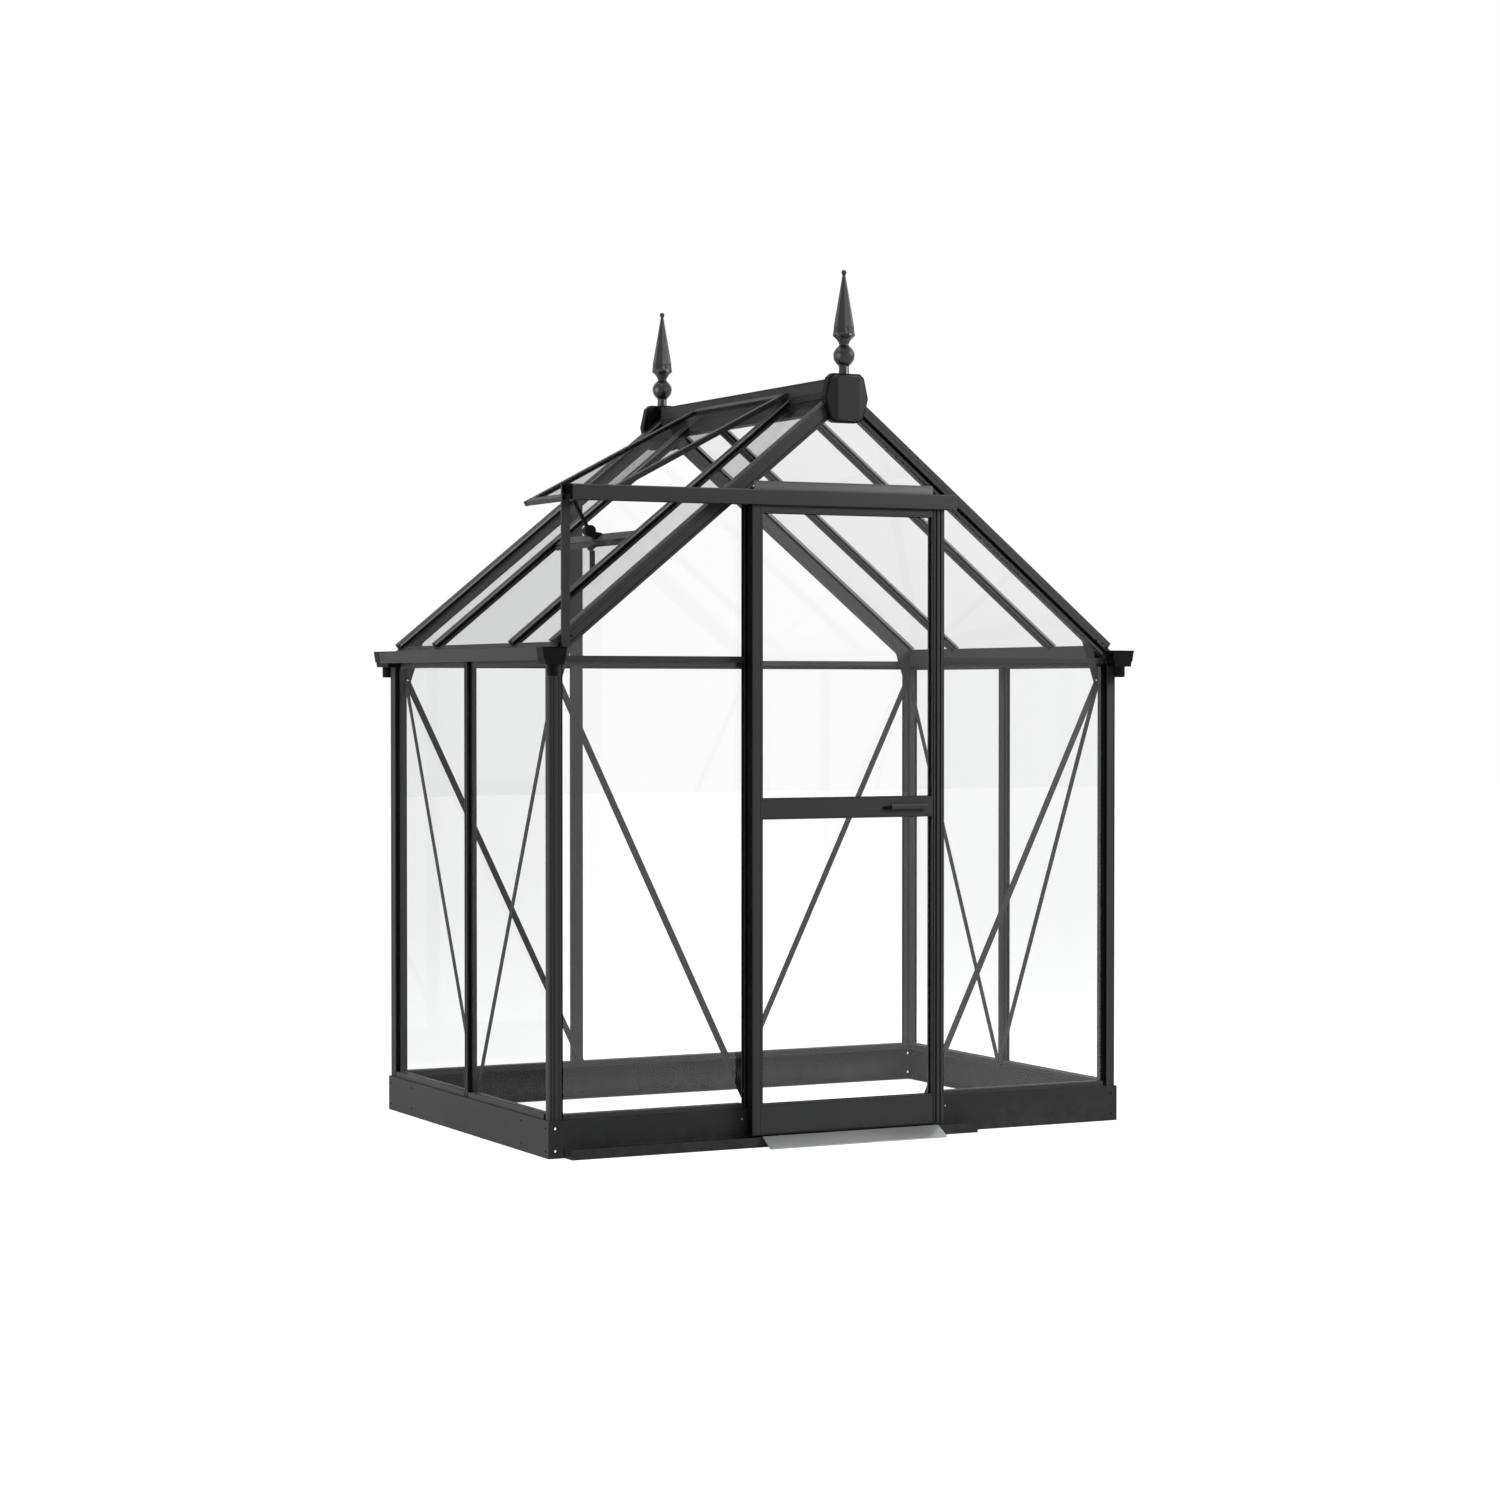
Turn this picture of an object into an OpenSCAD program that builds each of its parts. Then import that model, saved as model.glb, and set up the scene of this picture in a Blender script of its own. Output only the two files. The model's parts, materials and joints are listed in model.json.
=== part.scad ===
// Glass greenhouse: black steel base, aluminium glazing bars, a pitched glass
// roof with one open vent, gutters along both eaves and one sliding door.
// X runs along the gable, Y from front to back, Z up from the ground.

/* [House] */
// Width of the base along the gable
house_w = 1930; // [1500:1:2600]
// Length of the base from front to back
house_l = 1284; // [1000:1:2600]
// Height of the roof line over the outer face of the base
eave_h = 1465; // [1300:1:1900]
// Pitch of the roof
roof_pitch = 39; // [30:0.5:45]

/* [Base] */
// Height of the steel base
base_h = 108; // [70:1:160]
// Thickness of the base's sheet
base_t = 3; // [2:0.5:5]
// Width of the base's top flange
base_top_w = 50; // [48:1:80]
// Width of the base's bottom flange
base_foot_w = 34; // [20:1:60]
// Radius of the fixing holes in the base's brackets
bracket_hole_r = 4; // [3:0.5:6]
// Height of the sill that stands on the base
sill_h = 16; // [10:0.5:20]

/* [Frame] */
// Distance of the frame's outer face behind the base's outer face
frame_inset = 6; // [2:0.5:12]
// Width of a corner post, the same both ways
post_w = 42; // [36:0.5:60]
// Width of a bar's outer cap
bar_cap_w = 24; // [20:0.5:30]
// Width of a bar's inner flange
bar_flange_w = 30; // [26:0.5:40]
// Width of the web between cap and flange
bar_web_w = 10; // [6:0.5:14]
// Width of a bar's inner channel
bar_channel_w = 14; // [10:0.5:20]
// Depth of a bar from its outer face
bar_d = 34; // [30:0.5:45]
// Depth of the cap, from the outer face to the glass slot
cap_d = 8.5; // [5:0.5:12]
// Thickness of a bar's inner flange
flange_t = 3; // [2:0.5:5]
// Depth of a rafter under the roof line, square to the roof
rafter_d = 43; // [36:0.5:60]
// Width of a rafter, along the house
rafter_w = 37; // [32:0.5:50]
// Height of the caps of rafters and roof bars over the roof line
cap_rise = 3.5; // [0:0.5:5]
// Depth of a roof bar under the roof line
roof_bar_d = 25; // [20:0.5:34]
// Width of the inner channel of the back wall's bars
back_channel_w = 40; // [14:1:50]
// Width of a corner post's outer cap along the gable
post_cap_x = 38; // [30:0.5:60]
// Width of a corner post's outer cap along the side wall
post_cap_y = 28; // [24:0.5:60]
// Height of a cross bar's outer cap
cross_cap_h = 17.5; // [14:0.5:24]
// Height of a cross bar's inner flange
cross_flange_h = 28; // [24:0.5:40]

/* [Glass] */
// Thickness of the glass
glass_t = 4; // [3:0.5:6]
// Clearance between the glass and its slot, on every side
glass_gap = 0.5; // [0.3:0.1:0.9]
// Depth of a glass slot in a post or rafter
slot_d = 8; // [5:0.5:12]

/* [Eaves and ridge] */
// Reach of the gutter's lip past the base
gutter_out = 34.6; // [25:0.1:60]
// Height of the gutter's outer wall
gutter_h = 37; // [30:0.5:60]
// Thickness of the gutter's wall
gutter_t = 2.5; // [2:0.1:4]
// Width of the eave beam behind the gutter
beam_w = 36; // [34:0.5:60]
// Reach of a gutter end past the base
gutter_end_out = 40; // [30:1:60]
// Width of the ridge beam
ridge_w = 40; // [36:1:70]
// Height of the ridge's top over the peak of the roof line
ridge_rise = 29; // [25:1:60]
// Height of a finial
finial_h = 310; // [200:1:400]

/* [Roof vent] */
// Length of the vent down the slope
vent_l = 694; // [500:1:800]
// Slope at which the vent stands open
vent_pitch = 27.6; // [20:0.1:36]
// Thickness of the vent's frame
vent_t = 16; // [12:0.5:24]

/* [Door] */
// Lap of the door over each side of the doorway
door_lap = 17.5; // [5:0.5:30]
// Height of the sliding door
door_h = 1860; // [1600:1:2000]
// Thickness of the sliding door
door_t = 30; // [24:0.5:40]
// Width of a door stile
stile_w = 34; // [30:0.5:60]
// Width of the door stile on the handle's side
lead_stile_w = 41; // [30:0.5:60]
// Height of the door's middle rail
mid_rail_h = 60; // [40:1:90]
// Height of the middle rail's underside over the ground
mid_rail_z = 963; // [700:1:1200]
// Top of the kick panel over the ground
kick_top_z = 124; // [90:1:300]
// Gap between the door and the base
door_gap = 11; // [11:0.5:20]
// Gap between the ground and the door
door_lift = 34; // [34:0.5:60]
// Height of the door header
header_h = 44; // [40:0.5:80]
// Reach of the header and of the bottom rail past the base
track_out = 54; // [50:0.5:80]
// Reach of the ramp past the base
ramp_out = 110; // [100:1:200]

/* [Hidden] */
$fn = 48;

frame_grey = [0.22, 0.23, 0.24];
base_black = [0.12, 0.12, 0.13];
trim_black = [0.07, 0.07, 0.07];
bare_alloy = [0.62, 0.63, 0.64];
clear_glass = [0.80, 0.86, 0.88, 0.35];

// The house stands with the middle of its outline, ramp and gutter ends
// counted, over the origin.
house_y = (ramp_out - gutter_end_out) / 2;
half_w = house_w / 2;
half_l = house_l / 2;
bay_w = house_w / 3;
roof_bay_shift = 5.5;
roof_bay = (house_l - 2 * (frame_inset + rafter_w)) / 4 + roof_bay_shift;
fascia_z = eave_h - gutter_h;
cross_drop = 15;
cross_h = fascia_z - cross_drop;
sin_p = sin(roof_pitch);
cos_p = cos(roof_pitch);
tan_p = tan(roof_pitch);
peak_h = eave_h + half_w * tan_p;

// Depths behind a frame's outer face
slot_w = glass_t + 2 * glass_gap;
glass_d = cap_d + glass_gap;
flange_d = cap_d + slot_w;
overlap = 40;
// Seat clearance where a cut follows the slope
seat_gap = 0.1;

// Height of the plane that lies q under the roof line, u in from the base
function roof_z(u, q) = eave_h + u * tan_p - q / cos_p;

// Everything is drawn about the middle of the base, then moved.
module house() translate([0, house_y, 0]) children();
module mirrored_x() for (m = [0, 1]) mirror([m, 0, 0]) children();
module mirrored_y() for (m = [0, 1]) mirror([0, m, 0]) children();
module four_corners() mirrored_x() mirrored_y() children();

// Outline of a glazing bar: x across, y in from the outer face
module bar_outline(rise = 0, depth = bar_d, channel_w = bar_channel_w) {
    polygon([
        [-bar_cap_w / 2, -rise], [bar_cap_w / 2, -rise], [bar_cap_w / 2, cap_d],
        [bar_web_w / 2, cap_d], [bar_web_w / 2, flange_d], [bar_flange_w / 2, flange_d],
        [bar_flange_w / 2, flange_d + flange_t], [channel_w / 2, flange_d + flange_t],
        [channel_w / 2, depth], [-channel_w / 2, depth],
        [-channel_w / 2, flange_d + flange_t], [-bar_flange_w / 2, flange_d + flange_t],
        [-bar_flange_w / 2, flange_d], [-bar_web_w / 2, flange_d],
        [-bar_web_w / 2, cap_d], [-bar_cap_w / 2, cap_d]
    ]);
}

// Outline of a corner post, its outer corner at the origin
module post_outline() {
    difference() {
        square(post_w);
        translate([post_cap_x, -1]) square([overlap, cap_d + 1]);
        translate([-1, post_cap_y]) square([cap_d + 1, overlap]);
        translate([post_w - slot_d, cap_d]) square([overlap, slot_w]);
        translate([cap_d, post_w - slot_d]) square([slot_w, overlap]);
        translate([bar_d, bar_d]) square(overlap);
    }
}

// Stands an outline drawn in the gable's plane (x, z) up over y1 to y2
module along_y(y1, y2) translate([0, y2, 0]) rotate([90, 0, 0]) linear_extrude(y2 - y1) children();
// Stands an outline drawn in (y, z) up over x1 to x2
module along_x(x1, x2) translate([x1, 0, 0]) rotate([90, 0, 90]) linear_extrude(x2 - x1) children();

// ---------- base ----------
beam_in = frame_inset + beam_w;

module base_rail(x1, x2) {
    along_x(x1, x2) polygon([
        [0, 0], [base_foot_w, 0], [base_foot_w, base_t], [base_t, base_t],
        [base_t, base_h - base_t], [base_top_w, base_h - base_t], [base_top_w, base_h], [0, base_h]
    ]);
}

// A rail of the left wall, from front to back
module base_side() {
    translate([-half_w, half_l, 0]) rotate(-90) base_rail(0, house_l);
}

// The steel of both side rails, flanges counted, that the end rails stop at
module base_side_space() {
    mirrored_x() {
        translate([-half_w - 1, -half_l - 1, -1]) cube([base_t + 1, house_l + 2, base_h + 2]);
        translate([-half_w, -half_l - 1, base_h - base_t]) cube([base_top_w, house_l + 2, overlap]);
        translate([-half_w, -half_l - 1, -1]) cube([base_foot_w, house_l + 2, base_t + 1]);
    }
}

door_bay = bay_w - bar_flange_w;

// Angle plates inside the corners, bolted through both rails
bracket_w = 44;
bracket_t = 2.5;
bracket_gap = 1;
hole_z = [21, 86];
hole_in = 22;
module corner_holes() four_corners() translate([-half_w, -half_l, 0]) for (z = hole_z) {
    translate([hole_in, -1, z]) rotate([-90, 0, 0])
        cylinder(r = bracket_hole_r, h = base_t + bracket_t + 2);
    translate([-1, hole_in, z]) rotate([0, 90, 0])
        cylinder(r = bracket_hole_r, h = base_t + bracket_t + 2);
}

module base_left() color(base_black) house() difference() {
    base_side();
    corner_holes();
}
module base_right() color(base_black) house() difference() {
    mirror([1, 0, 0]) base_side();
    corner_holes();
}
module base_back() color(base_black) house() difference() {
    mirror([0, 1, 0]) translate([0, -half_l, 0]) base_rail(-half_w, half_w);
    base_side_space();
    corner_holes();
}
module base_front() color(base_black) house() difference() {
    mirrored_x() translate([0, -half_l, 0]) base_rail(-half_w, -door_bay / 2);
    base_side_space();
    corner_holes();
}
module base_brackets() color(base_black) house() difference() {
    four_corners() translate([-half_w + base_t, -half_l + base_t, base_t + bracket_gap]) {
        cube([bracket_w, bracket_t, base_h - 2 * base_t - 2 * bracket_gap]);
        cube([bracket_t, bracket_w, base_h - 2 * base_t - 2 * bracket_gap]);
    }
    corner_holes();
}

// Low angle across the doorway
threshold_h = 28;
module threshold() color(bare_alloy) house()
    translate([0, -half_l, 0]) along_x(-door_bay / 2, door_bay / 2) polygon([
        [0, 0], [base_foot_w, 0], [base_foot_w, base_t], [base_t, base_t],
        [base_t, threshold_h], [0, threshold_h]
    ]);

// ---------- sills ----------
module sill(x1, x2) {
    slot_z = base_h + sill_h / 2;
    along_x(x1, x2) polygon([
        [0, base_h], [bar_d, base_h], [bar_d, base_h + sill_h], [flange_d, base_h + sill_h],
        [flange_d, slot_z], [cap_d, slot_z], [cap_d, base_h + sill_h], [0, base_h + sill_h]
    ]);
}
post_in = frame_inset + post_w;
// The space of the back bars' inner channels, drawn at the front
module back_channels() mirrored_x()
    translate([-bay_w / 2 - back_channel_w / 2, -half_l + frame_inset + flange_d + flange_t, 0])
        cube([back_channel_w, bar_d, peak_h]);
module sills() color(frame_grey) house() {
    mirrored_x() {
        translate([0, -half_l + frame_inset, 0])
            sill(-half_w + post_in, -bay_w / 2 - bar_flange_w / 2);
        mirrored_y() translate([-half_w + frame_inset, 0, 0]) rotate(-90)
            sill(bar_flange_w / 2, half_l - post_in);
    }
    mirror([0, 1, 0]) difference() {
        translate([0, -half_l + frame_inset, 0]) {
            mirrored_x() sill(-half_w + post_in, -bay_w / 2 - bar_flange_w / 2);
            sill(-bay_w / 2 + bar_flange_w / 2, bay_w / 2 - bar_flange_w / 2);
        }
        back_channels();
    }
}

// ---------- eave beams and gutters ----------
// Outline of the left eave beam with its gutter, u in from the base's face
trough_z = fascia_z + gutter_t;
beam_top_q = flange_d;
beam_flange_h = 17;
lean = 6;
module eave_outline() polygon([
    [-gutter_out, eave_h], [-gutter_out + gutter_t, eave_h],
    [-gutter_out + lean + gutter_t, trough_z], [-gutter_t, trough_z],
    [-gutter_t, roof_z(-gutter_t, beam_top_q)], [beam_in, roof_z(beam_in, beam_top_q)],
    [beam_in, fascia_z - flange_t],
    [frame_inset + flange_d + flange_t, fascia_z - flange_t],
    [frame_inset + flange_d + flange_t, fascia_z - beam_flange_h],
    [frame_inset + flange_d, fascia_z - beam_flange_h],
    [frame_inset + flange_d, fascia_z + slot_d],
    [frame_inset + cap_d, fascia_z + slot_d],
    [frame_inset + cap_d, fascia_z], [-gutter_out + lean, fascia_z]
]);
// The same outline with its slot and trough filled, which posts and bars stop at
module eave_filled() polygon([
    [-gutter_out, eave_h], [-gutter_t, roof_z(-gutter_t, beam_top_q)],
    [beam_in, roof_z(beam_in, beam_top_q)], [beam_in, fascia_z - flange_t],
    [frame_inset + flange_d + flange_t, fascia_z - flange_t],
    [frame_inset + flange_d + flange_t, fascia_z - beam_flange_h],
    [frame_inset + flange_d, fascia_z - beam_flange_h],
    [frame_inset + flange_d, fascia_z],
    [-gutter_out + lean, fascia_z]
]);
module eave_space() mirrored_x() translate([-half_w, 0, 0])
    along_y(-half_l - overlap, half_l + overlap) eave_filled();
module eave_beam() translate([-half_w, 0, 0])
    along_y(-half_l + frame_inset, half_l - frame_inset) eave_outline();
module eave_beam_left() color(frame_grey) house() eave_beam();
module eave_beam_right() color(frame_grey) house() mirror([1, 0, 0]) eave_beam();

// Moulded gutter end with a short spout
end_h = 50;
end_step_z = fascia_z + gutter_t;
end_foot_z = eave_h - end_h;
end_step_out = 3;
end_step_in = 2;
end_lean_in = 4;
end_foot_lean = 2;
end_wall = 4;
spout_r = 17;
spout_l = 33;
spout_u = 6;
module gutter_ends() color(trim_black) house() four_corners() translate([-half_w, 0, 0]) {
    along_y(-half_l - gutter_end_out, -half_l + frame_inset) polygon([
        [-gutter_out, eave_h], [-gutter_out + lean, end_step_z],
        [-gutter_out + lean + end_step_out, end_step_z],
        [-gutter_out + lean + end_step_out + end_foot_lean, end_foot_z],
        [beam_in - end_lean_in - end_step_in - end_foot_lean, end_foot_z],
        [beam_in - end_lean_in - end_step_in, end_step_z],
        [beam_in - end_lean_in, end_step_z], [beam_in, eave_h]
    ]);
    translate([spout_u, -half_l - gutter_end_out + spout_r + end_wall, end_foot_z - spout_l])
        cylinder(r = spout_r, h = spout_l);
}

// ---------- posts and bars ----------
module corner_post() difference() {
    translate([-half_w + frame_inset, -half_l + frame_inset, base_h])
        linear_extrude(cross_h + cross_flange_h - base_h) post_outline();
    eave_space();
}
module post_front_left() color(frame_grey) house() corner_post();
module post_front_right() color(frame_grey) house() mirror([1, 0, 0]) corner_post();
module post_back_left() color(frame_grey) house() mirror([0, 1, 0]) corner_post();
module post_back_right() color(frame_grey) house() mirror([1, 0, 0]) mirror([0, 1, 0]) corner_post();

// The space over the plane q under the roof line, on both slopes
module over_roof(q) along_y(-half_l - overlap, half_l + overlap) polygon([
    [-half_w - overlap, roof_z(-overlap, q)], [0, roof_z(half_w, q)],
    [half_w + overlap, roof_z(-overlap, q)], [half_w + overlap, peak_h + house_w],
    [-half_w - overlap, peak_h + house_w]
]);

// An upright of the gable wall, cut off under the rafter
module gable_bar(x, channel_w = bar_channel_w) difference() {
    translate([x, -half_l + frame_inset, base_h])
        linear_extrude(peak_h - base_h) bar_outline(channel_w = channel_w);
    over_roof(rafter_d + seat_gap);
}
module door_posts() color(frame_grey) house() mirrored_x() gable_bar(-bay_w / 2);
module back_bars() color(frame_grey) house() mirror([0, 1, 0]) mirrored_x()
    gable_bar(-bay_w / 2, back_channel_w);
module side_bars() color(frame_grey) house() mirrored_x() difference() {
    translate([-half_w + frame_inset, 0, base_h]) rotate(-90)
        linear_extrude(fascia_z - base_h) bar_outline();
    eave_space();
}

// A cross bar between two uprights, glass above and below
module cross_bar(x1, x2, z) {
    web_z = cross_web_z;
    cap_z = cross_flange_h - cross_cap_h;
    translate([0, 0, z]) along_x(x1, x2) polygon([
        [0, cap_z], [cap_d, cap_z], [cap_d, web_z - bar_web_w / 2], [flange_d, web_z - bar_web_w / 2],
        [flange_d, 0], [flange_d + flange_t, 0], [flange_d + flange_t, cap_z], [bar_d, cap_z],
        [bar_d, cross_flange_h], [flange_d, cross_flange_h], [flange_d, web_z + bar_web_w / 2],
        [cap_d, web_z + bar_web_w / 2], [cap_d, cross_flange_h], [0, cross_flange_h]
    ]);
}
cross_web_z = cross_flange_h - cross_cap_h / 2;
// The header hides the door's top edge, and the lintel stands over the header
header_lap = 8;
lintel_rise = 12;
header_z = door_lift + door_h - header_lap;
header_top = header_z + header_h;
lintel_z = header_top + lintel_rise - cross_flange_h;
module front_crossbars() color(frame_grey) house() translate([0, -half_l + frame_inset, 0]) {
    mirrored_x() cross_bar(-half_w + post_in, -bay_w / 2 - bar_flange_w / 2, cross_h);
    cross_bar(-bay_w / 2 + bar_flange_w / 2, bay_w / 2 - bar_flange_w / 2, lintel_z);
}
module back_crossbars() color(frame_grey) house() mirror([0, 1, 0]) difference() {
    translate([0, -half_l + frame_inset, 0]) {
        mirrored_x() cross_bar(-half_w + post_in, -bay_w / 2 - bar_flange_w / 2, cross_h);
        cross_bar(-bay_w / 2 + bar_flange_w / 2, bay_w / 2 - bar_flange_w / 2, cross_h);
    }
    back_channels();
}

// ---------- roof ----------
// Draws in the left slope: x up the slope, y along the house, z out of the roof
module on_slope() translate([-half_w, 0, eave_h]) rotate([0, -roof_pitch, 0]) children();
slope_l = half_w / cos_p;
foot_s = 28;
ridge_half = ridge_w / 2;

module left_of(x) translate([x, -house_l, 0]) cube([house_w, 2 * house_l, 2 * peak_h]);

module rafter() difference() {
    on_slope() translate([foot_s, -half_l + frame_inset, 0]) rotate([90, 0, 90])
        linear_extrude(slope_l + overlap) polygon([
            [0, cap_rise], [0, -rafter_d], [cap_d, -rafter_d], [cap_d, -rafter_d + slot_d],
            [flange_d, -rafter_d + slot_d], [flange_d, -rafter_d], [rafter_w, -rafter_d],
            [rafter_w, -flange_d], [rafter_w - slot_d, -flange_d], [rafter_w - slot_d, -cap_d],
            [rafter_w, -cap_d], [rafter_w, cap_rise]
        ]);
    eave_space();
    left_of(0);
}
module rafters_front() color(frame_grey) house() mirrored_x() rafter();
module rafters_back() color(frame_grey) house() mirror([0, 1, 0]) mirrored_x() rafter();

module roof_bar(y) difference() {
    on_slope() translate([foot_s, y, 0]) rotate([90, 0, 90])
        linear_extrude(slope_l + overlap) mirror([0, 1]) bar_outline(cap_rise, roof_bar_d);
    eave_space();
    left_of(-ridge_half);
}
module roof_bars() color(frame_grey) house() four_corners() roof_bar(-roof_bay);

ridge_top = peak_h + ridge_rise;
ridge_foot = roof_z(half_w - ridge_half, rafter_d);
ridge_slot = 6;
rafter_in = frame_inset + rafter_w;
module ridge_beam() color(frame_grey) house() difference() {
    along_y(-half_l + rafter_in + seat_gap, half_l - rafter_in - seat_gap)
        translate([-ridge_half, ridge_foot]) square([ridge_w, ridge_top - ridge_foot]);
    mirrored_x() along_y(-half_l, half_l) polygon([
        [-ridge_half - 1, roof_z(half_w - ridge_half - 1, cap_d)],
        [-ridge_half - 1, roof_z(half_w - ridge_half - 1, flange_d)],
        [-ridge_half + ridge_slot, roof_z(half_w - ridge_half + ridge_slot, flange_d)],
        [-ridge_half + ridge_slot, roof_z(half_w - ridge_half + ridge_slot, cap_d)]
    ]);
}

// Moulded cover over the ridge's end: a bevelled plate outside the rafters
// and a block over them
cover_out = 14;
cover_in = 20;
cover_rise = 9;
cover_top = ridge_top + cover_rise;
cover_halves = [38, 54, 67, 73, 59, 45];
cover_drops = [152, 143, 98, 73, 12, 0];
module cover_outline() polygon([
    for (side = [1, -1]) for (i = [0:5]) let (k = side > 0 ? i : 5 - i)
        [side * cover_halves[k], cover_top - cover_drops[k]]
]);
module ridge_end() difference() {
    union() {
        along_y(-half_l - cover_out, -half_l + cover_in) cover_outline();
        along_y(-half_l + frame_inset, -half_l + rafter_in)
            translate([-ridge_half, peak_h - overlap]) square([ridge_w, cover_top - peak_h + overlap]);
    }
    difference() {
        along_y(-half_l + frame_inset, -half_l + rafter_in + 1)
            translate([-half_w, 0]) square([house_w, 2 * peak_h]);
        over_roof(-cap_rise - seat_gap);
    }
}
module ridge_ends() color(trim_black) house() mirrored_y() ridge_end();

// Finial: fluted neck, ball, waist, flared collar, spear and tip ball
finial_in = 10;
finial_drawn_h = 310;
tip_r = 8;
module finial() translate([0, -half_l + finial_in, cover_top]) {
    s = finial_h / finial_drawn_h;
    rotate_extrude() scale([s, s]) polygon([
        [0, 0], [15, 0], [15, 24], [25, 33], [30, 42], [32.5, 52], [32, 60], [29, 69],
        [23, 78], [15, 86], [15, 90], [17.5, 96], [23.5, 105], [33.5, 113], [33.5, 117],
        [4, 296], [0, 296]
    ]);
    translate([0, 0, (finial_drawn_h - tip_r) * s]) sphere(r = tip_r * s);
}
module finials() color(trim_black) house() mirrored_y() finial();

// ---------- plates and braces ----------
brace_w = 20;
brace_t = 3;
plate_t = 3;

// A flat strip between two points of a plane, drawn in (a, b)
module strip(a, b) {
    length = norm(b - a);
    turn = atan2(b[1] - a[1], b[0] - a[0]);
    translate(a) rotate(turn) translate([0, -brace_w / 2]) square([length, brace_w]);
}
// Corner plates inside the gables, from each post up to the rafter over it
brace_d = frame_inset + bar_d;
plate_gap = 0.5;
brace_in = brace_d + brace_t + plate_gap;
plate_d = frame_inset + rafter_w + seat_gap;
plate_reach = 112;
plate_foot_u = 58;
plate_drop = 50;
plate_foot_z = cross_h - plate_drop;
plate_top_q = 24;
plate_clear_z = fascia_z - beam_flange_h - 1;
module gusset_outline() polygon([
    [brace_in, plate_foot_z], [plate_foot_u, plate_foot_z],
    [plate_reach, roof_z(plate_reach, plate_top_q)],
    [beam_in + 1, roof_z(beam_in + 1, plate_top_q)],
    [beam_in + 1, plate_clear_z], [brace_in, plate_clear_z]
]);
module gussets() color(frame_grey) house() four_corners()
    translate([-half_w, -half_l + plate_d + plate_t, 0]) rotate([90, 0, 0])
        linear_extrude(plate_t) gusset_outline();

// Braces lie on the inner faces of posts and bars, and stop short of each other
brace_drop = 41;
brace_lift = 4;
brace_top = cross_h - brace_drop;
brace_foot = base_h + brace_lift;
brace_gap = 1.5;
// From a post, "start" in from the corner, to a bar "middle" in from it
module brace_outline(middle, reach) intersection() {
    strip([brace_d, brace_top + 2 * (post_in - brace_d)], [middle, brace_foot]);
    translate([brace_in, base_h]) square([reach - brace_in, brace_top - base_h]);
}
module side_braces() color(frame_grey) house() four_corners()
    translate([-half_w + brace_d, -half_l, 0]) rotate([90, 0, 90]) linear_extrude(brace_t)
        brace_outline(half_l, half_l - brace_gap);
module gable_braces() color(frame_grey) house() four_corners()
    translate([-half_w, -half_l + brace_d + brace_t, 0]) rotate([90, 0, 0]) linear_extrude(brace_t)
        brace_outline(half_w - bay_w / 2, half_w - bay_w / 2 + bar_channel_w / 2);

// ---------- glass ----------
sill_slot = base_h + sill_h / 2 + glass_gap;
post_glass = post_in - slot_d + glass_gap;
web_gap = bar_web_w / 2 + glass_gap;
module side_pane() translate([-half_w + frame_inset + glass_d, -half_l + post_glass, sill_slot])
    cube([glass_t, half_l - post_glass - web_gap, fascia_z + slot_d - glass_gap - sill_slot]);
module side_glass() color(clear_glass) house() four_corners() side_pane();

// Gable panes of one side, drawn at the front: below and above the cross bar
gable_q = rafter_d - slot_d + glass_gap;
under_cross = cross_h + cross_web_z - bar_web_w / 2 - glass_gap;
over_cross = cross_h + cross_web_z + bar_web_w / 2 + glass_gap;
u_bar = half_w - bay_w / 2 - web_gap;
module gable_side_panes() translate([-half_w, 0, 0])
    along_y(-half_l + frame_inset + glass_d, -half_l + frame_inset + glass_d + glass_t) {
        difference() {
            translate([post_glass, sill_slot])
                square([u_bar - post_glass, under_cross - sill_slot]);
            translate([0, fascia_z - beam_flange_h - glass_gap]) square([beam_in + glass_gap, overlap]);
        }
        polygon([
            [beam_in + glass_gap, over_cross], [u_bar, over_cross],
            [u_bar, roof_z(u_bar, gable_q)],
            [beam_in + glass_gap, roof_z(beam_in + glass_gap, gable_q)]
        ]);
    }
module gable_middle_pane(z) along_y(-half_l + frame_inset + glass_d, -half_l + frame_inset + glass_d + glass_t) {
    half = bay_w / 2 - web_gap;
    polygon([
        [-half, z], [half, z], [half, roof_z(half_w - half, gable_q)],
        [0, roof_z(half_w, gable_q)], [-half, roof_z(half_w - half, gable_q)]
    ]);
}
module front_glass() color(clear_glass) house() {
    mirrored_x() gable_side_panes();
    gable_middle_pane(lintel_z + cross_web_z + bar_web_w / 2 + glass_gap);
}
module back_glass() color(clear_glass) house() mirror([0, 1, 0]) {
    mirrored_x() gable_side_panes();
    gable_middle_pane(over_cross);
    translate([-bay_w / 2 + web_gap, -half_l + frame_inset + glass_d, sill_slot])
        cube([bay_w - 2 * web_gap, glass_t, under_cross - sill_slot]);
}

// Roof panes run from over the gutter to the ridge's slot
pane_foot = -15;
ridge_clear = 3;
pane_back = 8;
pane_top = (half_w - ridge_half + ridge_slot - ridge_clear) / cos_p - pane_back;
vent_foot_s = (half_w - ridge_half) / cos_p - vent_l;
vent_sill_lap = 14;
vent_sill_s = vent_foot_s + vent_sill_lap;
vent_sill_w = 46;
vent_sill_d = 26;
sill_step = 10;
vent_lap = 9;
vent_w = 2 * (roof_bay + vent_lap);
edge_y = -half_l + rafter_in - slot_d + glass_gap;
module roof_pane(y1, y2, s1, s2) on_slope()
    translate([s1, y1, -glass_d - glass_t]) cube([s2 - s1, y2 - y1, glass_t]);
module roof_side_panes() mirrored_y() roof_pane(edge_y, -roof_bay - web_gap, pane_foot, pane_top);
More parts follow.
